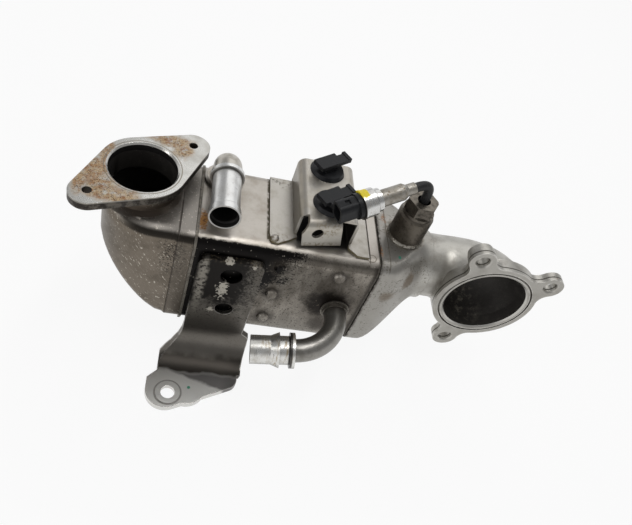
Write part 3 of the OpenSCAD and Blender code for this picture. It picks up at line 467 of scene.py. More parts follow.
def casing_finish():
    f = worn_steel("casing_steel_worn", (0.45, 0.42, 0.38), (0.35, 0.315, 0.27),
                   rough=0.33, metal=0.85, blotch=16.0, seed=2.0)
    # Front wall: painted darker as shade and a tarnish film, streaked, lighter at the lower right, with dark
    # and pale specks
    front = f.span(f.ny, -0.3, -0.8)
    f.layer(front, (0.26, 0.237, 0.203), rough=0.36, amount=0.92)
    streaks = f.patches(6.0, 0.36, 0.62, seed=4, detail=5.0, rough=0.66, stretch=(1, 1, 2.5))
    f.layer(f.both(front, streaks), (0.12, 0.105, 0.086), rough=0.46, amount=0.8)
    lighter_lower_right = f.both(front, f.span(f.z, -58, -86), f.span(f.x, 62, 92))
    f.layer(lighter_lower_right, (0.25, 0.235, 0.21), rough=0.36, amount=0.6)
    dark_specks = f.both(front, f.specks(0.9, 0.58, 0.66, seed=5))
    f.layer(dark_specks, (0.02, 0.018, 0.016), rough=0.6, amount=0.75)
    pale_specks = f.both(front, f.specks(1.1, 0.69, 0.73, seed=31))
    f.layer(pale_specks, (0.42, 0.39, 0.34), rough=0.5, amount=0.7)
    # Oily soot on the front edge, thinning out to the right along a slanted line
    slant = f.math("MULTIPLY_ADD", f.z, 0.45, 101.0)
    past_slant = f.math("SUBTRACT", f.x, slant)
    ragged = f.swing(past_slant, 30.0, f.noise(8.0, 3.0, 0.5, seed=21))
    ragged = f.swing(ragged, 46.0, f.noise(1.0, 3.0, 0.7, seed=22))
    brink = f.swing(f.y, 3.2, f.noise(1.5, 4.0, 0.7, seed=23))
    soot = f.both(f.span(ragged, 6, -7), f.span(brink, -27.6, -28.4))
    f.layer(soot, SOOT, rough=0.4, metal=1.0)
    flecks = f.both(soot, front, f.specks(2.0, 0.665, 0.7, seed=24))
    f.layer(flecks, (0.3, 0.275, 0.235), rough=0.5, amount=0.8)
    # Dark rings round the dimples, painted shade in the bend between top and front, and the round mark on the
    # end bead
    rings = f.either(*[f.blob(dimple, (6.5, 5, 6.5), soft=0.5, wobble=0.4, size=3, seed=40 + dimple[0])
                       for dimple in DIMPLES])
    wall = f.span(f.y, -33.2, -32.4)
    f.layer(f.both(rings, wall), (0.04, 0.034, 0.028), rough=0.5, amount=0.75)
    bend = f.both(f.between(f.nz, (0.15, 0.35), (0.8, 0.62)), f.span(f.ny, -0.5, -0.7))
    f.layer(f.both(bend, f.off(soot)), (0.07, 0.061, 0.051), rough=0.34, amount=0.7)
    mark = f.between(f.off_axis(BEAD_MARK, ALONG_Z), (2.0, 2.2), (2.8, 2.6))
    f.layer(f.both(mark, f.span(f.nz, 0.3, 0.7)), (0.14, 0.12, 0.1), rough=0.5, amount=0.8)
    # Burnt ring where the lower pipe is brazed on, and the dark end seam
    scorch = f.blob((119, -32, -52), (17, 12, 22), soft=0.7, wobble=0.4, size=6, seed=7)
    f.layer(scorch, (0.055, 0.045, 0.036), rough=0.5, amount=0.75)
    burn = f.blob((118.5, -32, -55), (14, 12, 12), soft=0.4, wobble=0.55, size=4, seed=5)
    f.layer(burn, (0.014, 0.011, 0.009), rough=0.5, metal=1.0, amount=0.95)
    crumbs = f.both(burn, f.specks(1.4, 0.66, 0.7, seed=9))
    f.layer(crumbs, (0.2, 0.17, 0.13), rough=0.5, amount=0.7)
    seam = f.both(front, f.span(f.x, 135.5, 138.5))
    f.layer(seam, (0.03, 0.025, 0.02), rough=0.6, amount=0.85)
    # Rust by the hood's seam, and painted shadow on the casing under the sensor bracket
    rust = f.blob((36.0, -16.5, -16), (2.4, 6.4, 3), soft=0.4, wobble=1.2, size=2.0, seed=6)
    f.layer(rust, (0.42, 0.19, 0.042), rough=0.75, metal=0.1, amount=0.95)
    rust_grains = f.both(rust, f.specks(1.0, 0.52, 0.6, seed=8))
    f.layer(rust_grains, RUST_DARK, rough=0.8, metal=0.0, amount=0.8)
    shadow_under_hat = f.both(f.span(f.y, -23.5, -19.5), f.span(f.z, -19, -17))
    shadow_under_hat = f.both(shadow_under_hat, f.between(f.x, (87.5, 89.5), (121, 119)))
    f.layer(shadow_under_hat, HAT_SHADOW, rough=0.7, amount=0.96)
    # Dirt along the sensor bracket's left foot, and painted shade on the underside
    foot_line = f.both(f.near(f.x, 72.6, 1.3, 0.3), f.patches(2.2, 0.36, 0.52, seed=41, rough=0.65))
    foot_line = f.both(foot_line, f.upward(), f.span(f.y, -25.0, -23.5))
    f.layer(foot_line, (0.06, 0.048, 0.02), rough=0.7, metal=0.2, amount=0.9)
    underside_shade = f.span(f.nz, -0.5, -0.9)
    f.layer(underside_shade, (0.12, 0.11, 0.095), rough=0.5, amount=0.6)
    return f.done()


def hood_finish():
    f = worn_steel("hood_steel_worn", (0.168, 0.142, 0.113), (0.115, 0.096, 0.074),
                   rough=0.36, metal=0.9, blotch=18.0, seed=31.0)
    # Painted light: the top faces lighter than the rest
    top = f.span(f.nz, 0.35, 0.95)
    f.layer(top, (0.27, 0.252, 0.23), rough=0.34, amount=0.85)
    # Grain and bright scratches along the drawn sheet
    drawn = (0, 55, 0)
    grain = f.patches(0.5, 0.56, 0.7, seed=7, detail=2.0, stretch=(7, 2, 1), turn=drawn)
    f.layer(grain, (0.27, 0.24, 0.2), rough=0.32, amount=0.5)
    scratches = f.patches(0.8, 0.655, 0.7, seed=17, detail=1.5, rough=0.5, stretch=(3.2, 1.6, 1), turn=drawn)
    f.layer(scratches, (0.52, 0.48, 0.41), rough=0.45, amount=0.85)
    # Black spatter near the casing
    front = f.span(f.ny, -0.3, -0.7)
    spatter = f.patches(1.5, 0.56, 0.64, seed=6, detail=5, rough=0.72)
    spatter = f.both(front, f.span(f.x, 14, 25), spatter)
    f.layer(spatter, (0.026, 0.022, 0.019), rough=0.5, amount=0.8)
    cluster = f.blob((23, -31, -34), (8, 8, 13), soft=0.6, wobble=0.6, size=5, seed=8)
    cluster = f.both(cluster, f.specks(1.1, 0.53, 0.58, seed=18))
    f.layer(cluster, (0.014, 0.012, 0.01), rough=0.4, amount=0.95)
    # Collar over the casing, with the crease before it
    collar = f.both(front, f.span(f.x, 23.4, 24.6))
    f.layer(collar, (0.1, 0.087, 0.072), rough=0.4, amount=0.5)
    crease = f.near(f.x, 23.7, 0.6, 0.15)
    f.layer(crease, (0.05, 0.042, 0.035), rough=0.5, amount=0.7)
    f.bump(crease, depth=-0.25, strength=0.8)
    # Painted shade in the bend between top and front, painted shadow with a burnt tint round the neck under
    # the flange, and the darker left end
    bend = f.both(f.between(f.nz, (0.35, 0.5), (0.88, 0.72)), f.span(f.ny, -0.4, -0.6), f.span(f.x, -16, 2))
    f.layer(bend, (0.02, 0.0165, 0.013), rough=0.36, amount=0.92)
    neck_shadow = f.blob((0, 0, -13), (25, 25, 8), soft=0.2, wobble=0.3, size=6, seed=3)
    f.layer(neck_shadow, (0.06, 0.045, 0.034), rough=0.5, amount=0.75)
    left_end = f.span(f.nx, -0.55, -0.9)
    f.layer(left_end, (0.1, 0.084, 0.066), amount=0.6)
    return f.done()


def flange_finish():
    f = worn_steel("flange_steel_worn", (0.55, 0.543, 0.515), (0.44, 0.425, 0.39),
                   rough=0.27, metal=0.9, blotch=12.0, seed=47.0, pepper=0.2)
    brushed = f.patches(0.5, 0.58, 0.75, seed=2, detail=2, stretch=(12, 1, 1), turn=(0, 0, -45))
    f.layer(brushed, (0.42, 0.405, 0.375), rough=0.34, amount=0.45)
    # Rust in patches round the bore: tan below, then red, pale and dark grains
    stain = f.either(
        f.blob((-24, -9, 0), (7, 8, 6), soft=0.45, wobble=0.7, size=5, seed=1),
        f.blob((-19, -19, 0), (8, 7, 6), soft=0.5, wobble=0.7, size=5, seed=2),
        f.blob((-13, -25, 0), (14, 5, 6), soft=0.45, wobble=0.7, size=5, seed=3),
        f.blob((-30, -19, 0), (3, 9, 6), soft=0.5, wobble=0.7, size=4, seed=4),
        f.blob((13, 25.5, 0), (11, 4.5, 6), soft=0.5, wobble=0.7, size=5, seed=5),
        f.blob((19.5, 19, 0), (5, 6, 6), soft=0.5, wobble=0.7, size=4, seed=6),
        f.blob((-20, 6, 0), (3, 9, 6), soft=0.6, wobble=0.6, size=4, seed=7))
    tan = f.both(stain, f.patches(4.0, 0.3, 0.55, seed=9))
    f.layer(tan, (0.47, 0.315, 0.15), rough=0.6, metal=0.3, amount=0.85)
    red = f.both(stain, f.patches(2.6, 0.46, 0.6, seed=19, detail=5, rough=0.7))
    f.layer(red, RUST, rough=0.75, metal=0.1, amount=0.8)
    pale = f.both(stain, f.patches(0.8, 0.54, 0.64, seed=39, detail=3, rough=0.7))
    f.layer(pale, (0.5, 0.46, 0.37), rough=0.6, metal=0.3, amount=0.6)
    dark = f.both(stain, f.patches(1.2, 0.53, 0.62, seed=29, detail=5, rough=0.72))
    f.layer(dark, RUST_DARK, rough=0.8, metal=0.0, amount=0.9)
    pits = f.both(stain, f.specks(0.6, 0.57, 0.63, seed=49))
    f.layer(pits, (0.05, 0.028, 0.015), rough=0.8, metal=0.0, amount=0.85)
    bare = f.both(stain, f.patches(3.2, 0.56, 0.66, seed=59, rough=0.65))
    f.layer(bare, (0.56, 0.53, 0.46), rough=0.5, metal=0.4, amount=0.7)
    # Rim: painted dark as shade and dirt, blotched, with a painted highlight along its upper edge
    top = f.span(f.nz, 0.9, 0.98)
    rim = f.span(f.nz, 0.4, 0.1)
    f.layer(rim, (0.085, 0.074, 0.06), rough=0.4, amount=0.95)
    blotches = f.both(rim, f.patches(4, 0.38, 0.58, seed=3, detail=5, rough=0.66))
    f.layer(blotches, (0.022, 0.018, 0.015), rough=0.5, amount=0.9)
    upper_edge_highlight = f.both(rim, f.span(f.z, -1.1, -0.5))
    f.layer(upper_edge_highlight, (0.34, 0.32, 0.28), rough=0.35, amount=0.75)
    # Bore: bright chamfer with a brown line round it, soot below, and the two dark bolt holes
    far = f.off_axis(INLET, ALONG_Z)
    chamfer = f.both(f.span(far, 20.6, 20.3), f.off(top))
    f.layer(chamfer, (0.6, 0.585, 0.55), rough=0.22)
    line = f.both(f.between(far, (20.2, 20.45), (21.0, 20.75)), top)
    f.layer(line, (0.2, 0.165, 0.12), rough=0.5, amount=0.8)
    bore = f.both(f.span(far, 18.95, 18.6), rim)
    f.layer(bore, (0.02, 0.018, 0.017), rough=0.6, metal=0.6)
    for hole in FLANGE_HOLES:
        wall = f.both(f.span(f.off_axis(hole, ALONG_Z), 2.9, 2.6), rim)
        f.layer(wall, (0.05, 0.04, 0.03), rough=0.6)
    return f.done()


def cast_finish():
    f = worn_steel("cast_steel_worn", (0.46, 0.446, 0.41), (0.32, 0.303, 0.272),
                   rough=0.38, metal=0.85, blotch=11.0, seed=61.0, grain=0.04, pepper=0.6, grime_and_shade=0.15)
    f.bump(f.noise(1.3, 4.0, 0.6, seed=8), depth=0.06, strength=0.45)
    # Header, darker and cloudy; flat fronts are darker on header and ring alike
    header = f.span(f.x, 176, 168)
    f.layer(header, (0.255, 0.243, 0.222), rough=0.34, amount=0.75)
    clouds = f.both(header, f.patches(9, 0.5, 0.68, seed=12))
    f.layer(clouds, (0.36, 0.345, 0.315), rough=0.3, amount=0.7)
    flat_front = f.span(f.ny, -0.93, -0.995)
    f.layer(flat_front, (0.3, 0.288, 0.262), rough=0.36, amount=0.6)
    stain = f.blob((161.8, -27, -28), (4.0, 5, 6.0), soft=0.35, wobble=0.6, size=3, seed=2)
    f.layer(stain, (0.14, 0.105, 0.068), rough=0.55, metal=0.4, amount=0.85)
    brown = f.blob((152, -33, -40), (4, 5, 4), soft=0.6, wobble=0.8, size=3, seed=4)
    f.layer(brown, (0.13, 0.09, 0.05), rough=0.5, metal=0.3, amount=0.7)
    joint = f.both(f.span(f.x, 142.5, 140.3), f.patches(4, 0.3, 0.6, seed=2))
    f.layer(joint, (0.045, 0.038, 0.032), rough=0.6)
    # Rust specks and dirt
    rust = f.both(f.specks(1.0, 0.68, 0.72, seed=15), f.patches(18, 0.5, 0.65, seed=17, detail=2, rough=0.5))
    f.layer(rust, RUST, rough=0.7, metal=0.1, amount=0.75)
    dirt = f.both(f.span(f.x, 186, 172), f.patches(10, 0.42, 0.6, seed=18, detail=3, rough=0.55))
    dirt = f.both(dirt, f.specks(1.1, 0.56, 0.64, seed=16))
    f.layer(dirt, (0.1, 0.084, 0.062), rough=0.55, metal=0.6, amount=0.7)
    # Painted shade in the corner between pipe and ring, and brown dirt round the sensor boss
    corner = f.blob((189, -12, -32), (9, 9, 12), soft=0.6, wobble=0.5, size=6, seed=6)
    f.layer(corner, (0.14, 0.125, 0.1), rough=0.5, amount=0.6)
    boss_ring = f.both(f.span(f.off_axis(SENSOR, ALONG_Z), 14.5, 11.5), f.patches(3, 0.35, 0.6, seed=33))
    f.layer(boss_ring, (0.1, 0.08, 0.05), rough=0.6, amount=0.7)
    # Seal groove and the bright mouth of the bore
    far = f.off_axis(OUTLET, ALONG_Y)
    groove = f.between(far, (28.6, 29.0), (30.4, 30.0))
    groove = f.both(groove, f.between(f.y, (-25.4, -25.0), (-22.4, -23.0)))
    f.layer(groove, GROOVE_AND_SHADOW_LINE, rough=0.6)
    mouth = f.both(f.span(far, 27.3, 27.0), f.between(f.y, (-25.45, -25.0), (-23.4, -24.0)))
    f.layer(mouth, (0.55, 0.535, 0.5), rough=0.25, amount=0.7)
    # Green paint dot on the header
    dot = f.blob((152.4, -20, -16), (1.0, 1.3, 3), soft=0.15, wobble=0.5, size=1.2, seed=1)
    f.layer(dot, (0.02, 0.15, 0.1), rough=0.5, metal=0.0)
    # Lugged ring: painted highlight along its edges, in patches, and the dark step line round it
    edge_highlight = f.both(f.edges(EDGE_HIGHLIGHT_REACH), f.span(f.x, 190, 196), f.patches(5, 0.35, 0.55, seed=46))
    f.layer(edge_highlight, (0.75, 0.73, 0.69), rough=0.3, amount=0.6)
    ring_side = f.both(f.span(f.math("ABSOLUTE", f.ny), 0.6, 0.4), f.span(far, 31.0, 31.5))
    step = f.both(ring_side, f.between(f.y, (-23.5, -23.2), (-22.3, -22.6)), f.span(f.x, 183.5, 184.5))
    f.layer(step, (0.05, 0.044, 0.036), rough=0.5, amount=0.85)
    # Thin crease on top, and rust by the seam
    crease = f.both(f.near(f.x, 146, 0.55, 0.2), f.span(f.nz, 0.4, 0.8))
    f.layer(crease, (0.11, 0.095, 0.075), rough=0.5, amount=0.75)
    seam = f.either(
        f.blob((145.2, 11, -16), (1.6, 3.5, 3), soft=0.4, wobble=1.0, size=2, seed=41),
        f.blob((140.8, -18, -16), (1.3, 3.5, 3), soft=0.4, wobble=1.0, size=2, seed=42))
    seam = f.both(seam, f.specks(0.9, 0.46, 0.56, seed=43))
    f.layer(seam, RUST, rough=0.7, metal=0.1, amount=0.9)
    return f.done()


def inside_finish():
    f = Finish("gas_side_soot", (0.06, 0.055, 0.05), rough=0.5, metal=0.6, edge=0.0)
    crust = f.patches(6.0, 0.5, 0.75, seed=3, detail=5, rough=0.65)
    f.layer(crust, (0.1, 0.092, 0.08), rough=0.6, amount=0.8)
    f.layer(f.specks(0.8, 0.7, 0.74, seed=5), (0.3, 0.275, 0.23), rough=0.6, amount=0.6)
    # Pale ash on the floor of the outlet bowl
    ash = f.blob((217, -8, -62), (11, 14, 9), soft=0.5, wobble=0.6, size=5, seed=6)
    ash = f.both(ash, f.patches(5, 0.46, 0.7, seed=8, detail=5, rough=0.7))
    f.layer(ash, (0.36, 0.33, 0.27), rough=0.6, amount=0.8)
    f.bump(f.noise(1.2, 5.0, 0.7, seed=4), depth=0.15, strength=0.7)
    return f.done()


def bracket_finish():
    f = worn_steel("bracket_steel_worn", (0.15, 0.138, 0.12), (0.095, 0.085, 0.072),
                   rough=0.34, metal=0.9, blotch=10.0, seed=73.0)
    # Black upper plate, ragged below and to the right, with black specks beyond
    fall = f.swing(f.z, 34.0, f.noise(5.0, 5, 0.68, seed=51))
    right = f.swing(f.x, 26.0, f.noise(1.6, 4, 0.7, seed=52))
    black = f.both(f.span(f.y, -40, -38), f.span(fall, -72, -58), f.span(right, 74, 62))
    f.layer(black, (0.014, 0.0125, 0.0115), rough=0.4, metal=1.0)
    specks = f.both(f.span(f.y, -44, -38), f.specks(1.1, 0.58, 0.64, seed=53))
    f.layer(specks, (0.018, 0.016, 0.014), rough=0.5, amount=0.8)
    # Pale flakes round the windows, the paler strip on the left and the brown upper edge
    flakes = f.either(
        f.blob((53.4, -36, -25.4), (1.9, 4, 2.2), soft=0.2, wobble=2.2, size=1.5, seed=11),
        f.blob((53.2, -36, -50.5), (2.6, 4, 6.0), soft=0.2, wobble=2.4, size=1.8, seed=12),
        f.blob((49.3, -36, -70.8), (1.6, 4, 2.2), soft=0.2, wobble=2.2, size=1.5, seed=13),
        f.blob((67.5, -36, -27), (1.2, 4, 1.6), soft=0.2, wobble=2.2, size=1.5, seed=14))
    f.layer(flakes, (0.46, 0.43, 0.37), rough=0.5, metal=0.5, amount=0.9)
    strip = f.blob((40.3, -36, -46), (2.6, 5, 26), soft=0.5, wobble=0.5, size=5.0, seed=15)
    strip = f.both(strip, f.patches(2.4, 0.36, 0.54, seed=54, detail=5, rough=0.7))
    f.layer(strip, (0.25, 0.232, 0.2), rough=0.36, metal=0.9, amount=0.85)
    brown = f.both(f.span(f.y, -37, -36.2), f.span(f.z, -28, -20), f.patches(2.5, 0.5, 0.62, seed=55))
    f.layer(brown, (0.28, 0.23, 0.15), rough=0.5, amount=0.7)
    # Lower plate; bends painted dark as shade and oil in the hollow; foot painted bright as a painted
    # reflection, with a dark corner
    lower = f.span(f.z, -74, -84)
    f.layer(lower, (0.15, 0.138, 0.122), rough=0.3, amount=0.7)
    wavy = f.swing(f.y, 5.0, f.noise(9.0, 3, 0.5, seed=56))
    bends = f.between(wavy, (-43.5, -47.5), (-59, -55))
    f.layer(bends, (0.03, 0.026, 0.022), rough=0.4, amount=0.9)
    foot = f.both(f.span(f.z, -107.5, -109.5), f.span(wavy, -55.5, -59))
    f.layer(foot, (0.68, 0.67, 0.64), rough=0.28, amount=0.95)
    aslant = f.math("MULTIPLY_ADD", f.x, 0.3, wavy)
    dark_corner = f.both(foot, f.span(aslant, -48.6, -46.0))
    f.layer(dark_corner, (0.085, 0.079, 0.078), rough=0.38, amount=0.88)
    # Painted highlight along the edges of the bends, in patches
    edge_highlight = f.both(f.edges(EDGE_HIGHLIGHT_REACH), f.patches(6, 0.32, 0.5, seed=57), f.span(f.z, -60, -85))
    f.layer(edge_highlight, (0.62, 0.6, 0.565), rough=0.26, amount=0.75)
    # Ring that a washer left round the foot's hole, and a green paint dot
    ring = f.between(f.off_axis(FOOT_HOLE, ALONG_Z), (8.7, 8.2), (7.2, 7.6))
    f.layer(f.both(foot, ring), (0.12, 0.11, 0.095), rough=0.4, amount=0.7)
    dot = f.blob((45.2, -67.5, -110.5), (1.0, 1.0, 3), soft=0.2, wobble=0.3, size=1.5, seed=3)
    f.layer(dot, (0.02, 0.2, 0.12), rough=0.5, metal=0.0)
    return f.done()


def pipe_finish():
    f = worn_steel("pipe_steel_worn", (0.7, 0.7, 0.688), (0.58, 0.575, 0.558),
                   rough=0.3, metal=0.9, blotch=9.0, seed=83.0, grain=0.008, pepper=0.15)
    f.layer(f.patches(3.0, 0.56, 0.7, seed=5), PIPE_GREY, rough=0.36, amount=0.5)
    # Dull end face, and painted shade in the bore, whose walls face the axis
    far = f.off_axis(UPPER_PIPE, ALONG_Y)
    end_face = f.both(f.span(far, 9.6, 9.2), f.span(f.ny, -0.5, -0.9))
    f.layer(end_face, PIPE_GREY, rough=0.35, amount=0.9)
    across = f.math("SUBTRACT", f.x, UPPER_PIPE[0])
    above = f.math("SUBTRACT", f.z, UPPER_PIPE[2])
    outward = f.math("MULTIPLY_ADD", across, f.nx, f.math("MULTIPLY", above, f.nz))
    bore = f.both(f.span(outward, -0.5, -3.0), f.span(f.y, 10, 6))
    f.layer(bore, (0.022, 0.02, 0.019), rough=0.6, metal=0.6)
    # Painted shadow line behind the bead, and the tarnished elbow
    line = f.both(f.between(f.y, (2.3, 3.3), (4.0, 3.7)), f.span(far, 8.8, 8.5))
    f.layer(line, GROOVE_AND_SHADOW_LINE, rough=0.5, amount=0.8)
    elbow = f.span(f.y, 6.0, 7.5)
    f.layer(elbow, (0.42, 0.385, 0.325), rough=0.36, amount=0.7)
    tarnish = f.both(f.span(f.y, 8, 14), f.patches(3, 0.46, 0.62, seed=6))
    f.layer(tarnish, (0.3, 0.27, 0.215), rough=0.42, amount=0.6)
    return f.done()


def coolant_finish():
    f = worn_steel("coolant_pipe_worn", (0.28, 0.269, 0.248), (0.19, 0.18, 0.16),
                   rough=0.34, metal=0.9, blotch=7.0, seed=93.0, grain=0.01, pepper=0.3)
    root = f.both(f.span(f.y, -41, -34), f.span(f.off_axis(LOWER_PIPE, ALONG_Y), 20, 12))
    f.layer(root, (0.045, 0.036, 0.028), rough=0.5, amount=0.8)
    return f.done()


def spigot_finish():
    f = worn_steel("spigot_steel_worn", (0.7, 0.695, 0.67), (0.5, 0.48, 0.435),
                   rough=0.28, metal=0.95, blotch=6.0, seed=103.0, grain=0.004, edge=0.0, pepper=0.3)
    # Brown and black marks round the hose end, and painted shade on its lower side
    brown = f.patches(2.4, 0.54, 0.64, seed=2, detail=5, rough=0.7, stretch=(0.7, 5, 5))
    f.layer(brown, (0.3, 0.215, 0.1), rough=0.4, metal=0.6, amount=0.75)
    black = f.patches(1.6, 0.6, 0.68, seed=4, detail=5, rough=0.7, stretch=(0.6, 4, 4))
    f.layer(black, (0.035, 0.028, 0.02), rough=0.5, metal=0.5, amount=0.85)
    lower_side_shade = f.span(f.nz, 0.1, -0.5)
    f.layer(lower_side_shade, (0.11, 0.103, 0.09), rough=0.25, amount=0.8)
    # Black line beside the stop
    line = f.between(f.along(LOWER_PIPE, LOWER_PIPE_RUN), (-29.4, -28.9), (-26.8, -27.3))
    f.layer(line, (0.03, 0.026, 0.022), rough=0.3, amount=0.9)
    return f.done()


def holder_finish():
    f = worn_steel("holder_steel_worn", (0.45, 0.428, 0.39), (0.37, 0.343, 0.295),
                   rough=0.36, metal=0.8, blotch=8.0, seed=91.0, pepper=0.5)
    left_wall = f.span(f.nx, -0.4, -0.85)
    f.layer(left_wall, (0.215, 0.192, 0.158), rough=0.36, amount=0.9)
    # Holed tab: paler, stained at its bend and along its lower edge
    tab = f.both(f.span(f.ny, -0.5, -0.85), f.span(f.y, -20, -22))
    f.layer(tab, (0.46, 0.44, 0.395), rough=0.34, amount=0.85)
    stain = f.blob((103, -24, -1.5), (7, 6, 6), soft=0.5, wobble=0.8, size=3, seed=2)
    stain = f.both(stain, f.patches(1.7, 0.48, 0.62, seed=3, detail=5, rough=0.7))
    f.layer(stain, (0.18, 0.125, 0.06), rough=0.6, metal=0.3, amount=0.8)
    hem = f.both(tab, f.span(f.z, -10, -13), f.patches(1.6, 0.45, 0.58, seed=13, detail=5, rough=0.7))
    f.layer(hem, (0.13, 0.1, 0.05), rough=0.6, amount=0.7)
    # Feet: brown where they meet the casing, with dirt at both ends
    feet = f.both(f.span(f.z, -13, -14.6), f.off(f.upward()))
    f.layer(feet, (0.12, 0.095, 0.04), rough=0.6, metal=0.3, amount=0.8)
    dirt = f.patches(1.5, 0.5, 0.62, seed=23, detail=5, rough=0.7)
    front_end = f.blob((77, -23, -14), (8, 4.5, 5), soft=0.5, wobble=0.8, size=2, seed=5)
    f.layer(f.both(front_end, dirt), (0.13, 0.085, 0.035), rough=0.65, metal=0.2, amount=0.85)
    back_end = f.blob((80, 24, -14), (7, 4, 5), soft=0.5, wobble=0.8, size=2, seed=6)
    f.layer(f.both(back_end, dirt), (0.05, 0.04, 0.025), rough=0.65, metal=0.2, amount=0.85)
    # Warm clouds on the hat, and painted shade inside it
    clouds = f.off(f.patches(7, 0.3, 0.7, seed=9, detail=3, rough=0.5))
    f.layer(f.both(f.span(f.z, -8, -1), clouds), (0.4, 0.36, 0.29), amount=0.4)
    under = f.both(f.span(f.y, -19, -17.5), f.span(f.z, 1.35, 1.15))
    under = f.both(under, f.between(f.x, (88.4, 88.8), (120.2, 119.8)))
    f.layer(under, HAT_SHADOW, rough=0.7, amount=0.96)
    return f.done()


def nut_finish():
    f = small_steel("nut_steel_worn", (0.12, 0.106, 0.088), (0.05, 0.043, 0.035),
                    rough=0.34, metal=0.9, seed=111.0)
    # Painted light: the top faces lighter, in patches
    top = f.both(f.upward(), f.patches(2.5, 0.3, 0.6, seed=5))
    f.layer(top, (0.2, 0.178, 0.148), rough=0.32, amount=0.8)
    bore = f.both(f.span(f.off_axis(SENSOR, ALONG_Z), 4.9, 4.3), f.span(f.nz, 0.9, 0.3))
    f.layer(bore, SOOT, rough=0.6)
    return f.done()


def boss_finish():
    f = small_steel("boss_steel_worn", (0.115, 0.1, 0.08), (0.06, 0.05, 0.038),
                    rough=0.4, metal=0.85, seed=131.0)
    # Painted light: the top faces lighter
    f.layer(f.upward(), (0.19, 0.17, 0.14), rough=0.36, amount=0.7)
    weld = f.both(f.span(f.z, -13.5, -15.5), f.patches(2, 0.35, 0.55, seed=3))
    f.layer(weld, (0.42, 0.4, 0.35), rough=0.3, amount=0.8)
    spots = f.both(f.span(f.x, 157, 163), f.span(f.ny, -0.2, -0.7), f.specks(1.2, 0.54, 0.62, seed=6))
    f.layer(spots, (0.025, 0.02, 0.016), rough=0.6, amount=0.8)
    return f.done()


def ferrule_finish():
    f = worn_steel("ferrule_chrome_worn", (0.62, 0.618, 0.605), (0.5, 0.49, 0.47),
                   rough=0.23, metal=1.0, blotch=6.0, seed=141.0, grain=0.002, edge=0.0, pepper=0.2)
    brown = f.patches(1.8, 0.6, 0.7, seed=2, detail=5, rough=0.7)
    f.layer(brown, (0.26, 0.19, 0.1), rough=0.5, metal=0.4, amount=0.6)
    # Dark end at the connector, and the patch of yellow paint
    run = f.along(CONNECTOR, CONNECTOR_RUN)
    dark_end = f.span(run, 14.6, 14.2)
    f.layer(dark_end, (0.08, 0.07, 0.055), rough=0.4, amount=0.8)
    ragged = f.swing(run, 1.6, f.noise(1.1, 4, 0.65, seed=4))
    paint = f.blob((115.4, -13.6, 24.2), (5.4, 5.4, 5.4), soft=0.12, wobble=0.35, size=2.5, seed=3)
    paint = f.both(paint, f.span(ragged, 18.8, 18.4))
    f.layer(paint, (0.76, 0.61, 0.015), rough=0.45, metal=0.0)
    return f.done()


def sleeve_finish():
    f = small_steel("sleeve_zinc_worn", (0.37, 0.35, 0.315), (0.25, 0.228, 0.19),
                    rough=0.4, metal=0.8, seed=151.0, dirt=0.35)
    brown = f.patches(1.4, 0.58, 0.66, seed=6, detail=5, rough=0.7, stretch=(3, 3, 1))
    f.layer(brown, (0.15, 0.1, 0.045), rough=0.6, metal=0.3, amount=0.75)
    ribs = f.both(f.span(f.off_axis(CONNECTOR, CONNECTOR_RUN), 4.85, 5.1), f.patches(1.2, 0.35, 0.55, seed=7))
    f.layer(ribs, (0.11, 0.075, 0.035), rough=0.6, metal=0.3, amount=0.8)
    return f.done()


def plastic_finish():
    f = Finish("black_plastic_worn", (0.0105, 0.011, 0.0125), rough=0.4, metal=0.0, edge=0.3)
    f.bsdf.inputs["Specular IOR Level"].default_value = 0.2
    f.layer(f.patches(3.0, 0.5, 0.75, seed=3), (0.021, 0.021, 0.022), rough=0.52, amount=0.7)
    f.layer(f.specks(0.7, 0.69, 0.73, seed=4), (0.09, 0.088, 0.082), rough=0.7, amount=0.5)
    f.bump(f.noise(0.35, 2.0, 0.5, seed=9), depth=0.015, strength=0.6)
    return f.done()


def rubber_finish():
    f = Finish("lead_rubber_worn", (0.012, 0.012, 0.0125), rough=0.5, metal=0.0, edge=0.0)
    f.bsdf.inputs["Specular IOR Level"].default_value = 0.35
    f.layer(f.patches(2.0, 0.5, 0.7, seed=1), (0.03, 0.028, 0.026), rough=0.6, amount=0.6)
    f.bump(f.noise(0.5, 3.0, 0.6, seed=2), depth=0.03, strength=0.6)
    return f.done()


def dark_finish():
    return small_steel("dark_steel_worn", (0.17, 0.155, 0.132), (0.08, 0.07, 0.056),
                       rough=0.4, metal=0.8, seed=101.0).done()


def brass_finish():
    return small_steel("terminal_brass_worn", (0.5, 0.36, 0.16), (0.35, 0.25, 0.11),
                       rough=0.35, metal=0.9, seed=121.0).done()


# Which pieces wear which finish
GAS_TUBES = ["gas_tube_%d" % number for number in range(1, 8)]
DRESS = (
    (casing_finish, ["casing", "upper_pipe_collar"]),
    (hood_finish, ["inlet_hood"]),
    (flange_finish, ["inlet_flange"]),
    (cast_finish, ["outlet_header", "outlet_elbow"]),
    (bracket_finish, ["support_bracket"]),
    (pipe_finish, ["upper_coolant_pipe"]),
    (coolant_finish, ["lower_coolant_pipe"] + GAS_TUBES),
    (spigot_finish, ["lower_spigot"]),
    (holder_finish, ["sensor_bracket"]),
    (dark_finish, ["inlet_tube_plate", "outlet_tube_plate", "lower_pipe_collar"]),
    (nut_finish, ["sensor_nut", "sensor_probe"]),
    (boss_finish, ["sensor_boss"]),
    (ferrule_finish, ["sensor_ferrule"]),
    (sleeve_finish, ["lead_crimp", "sensor_sleeve"]),
    (plastic_finish, ["rear_clip", "front_clip", "sensor_connector"]),
    (rubber_finish, ["sensor_lead"]),
    (brass_finish, ["terminal_1", "terminal_2"]),
)
gas_side = inside_finish()
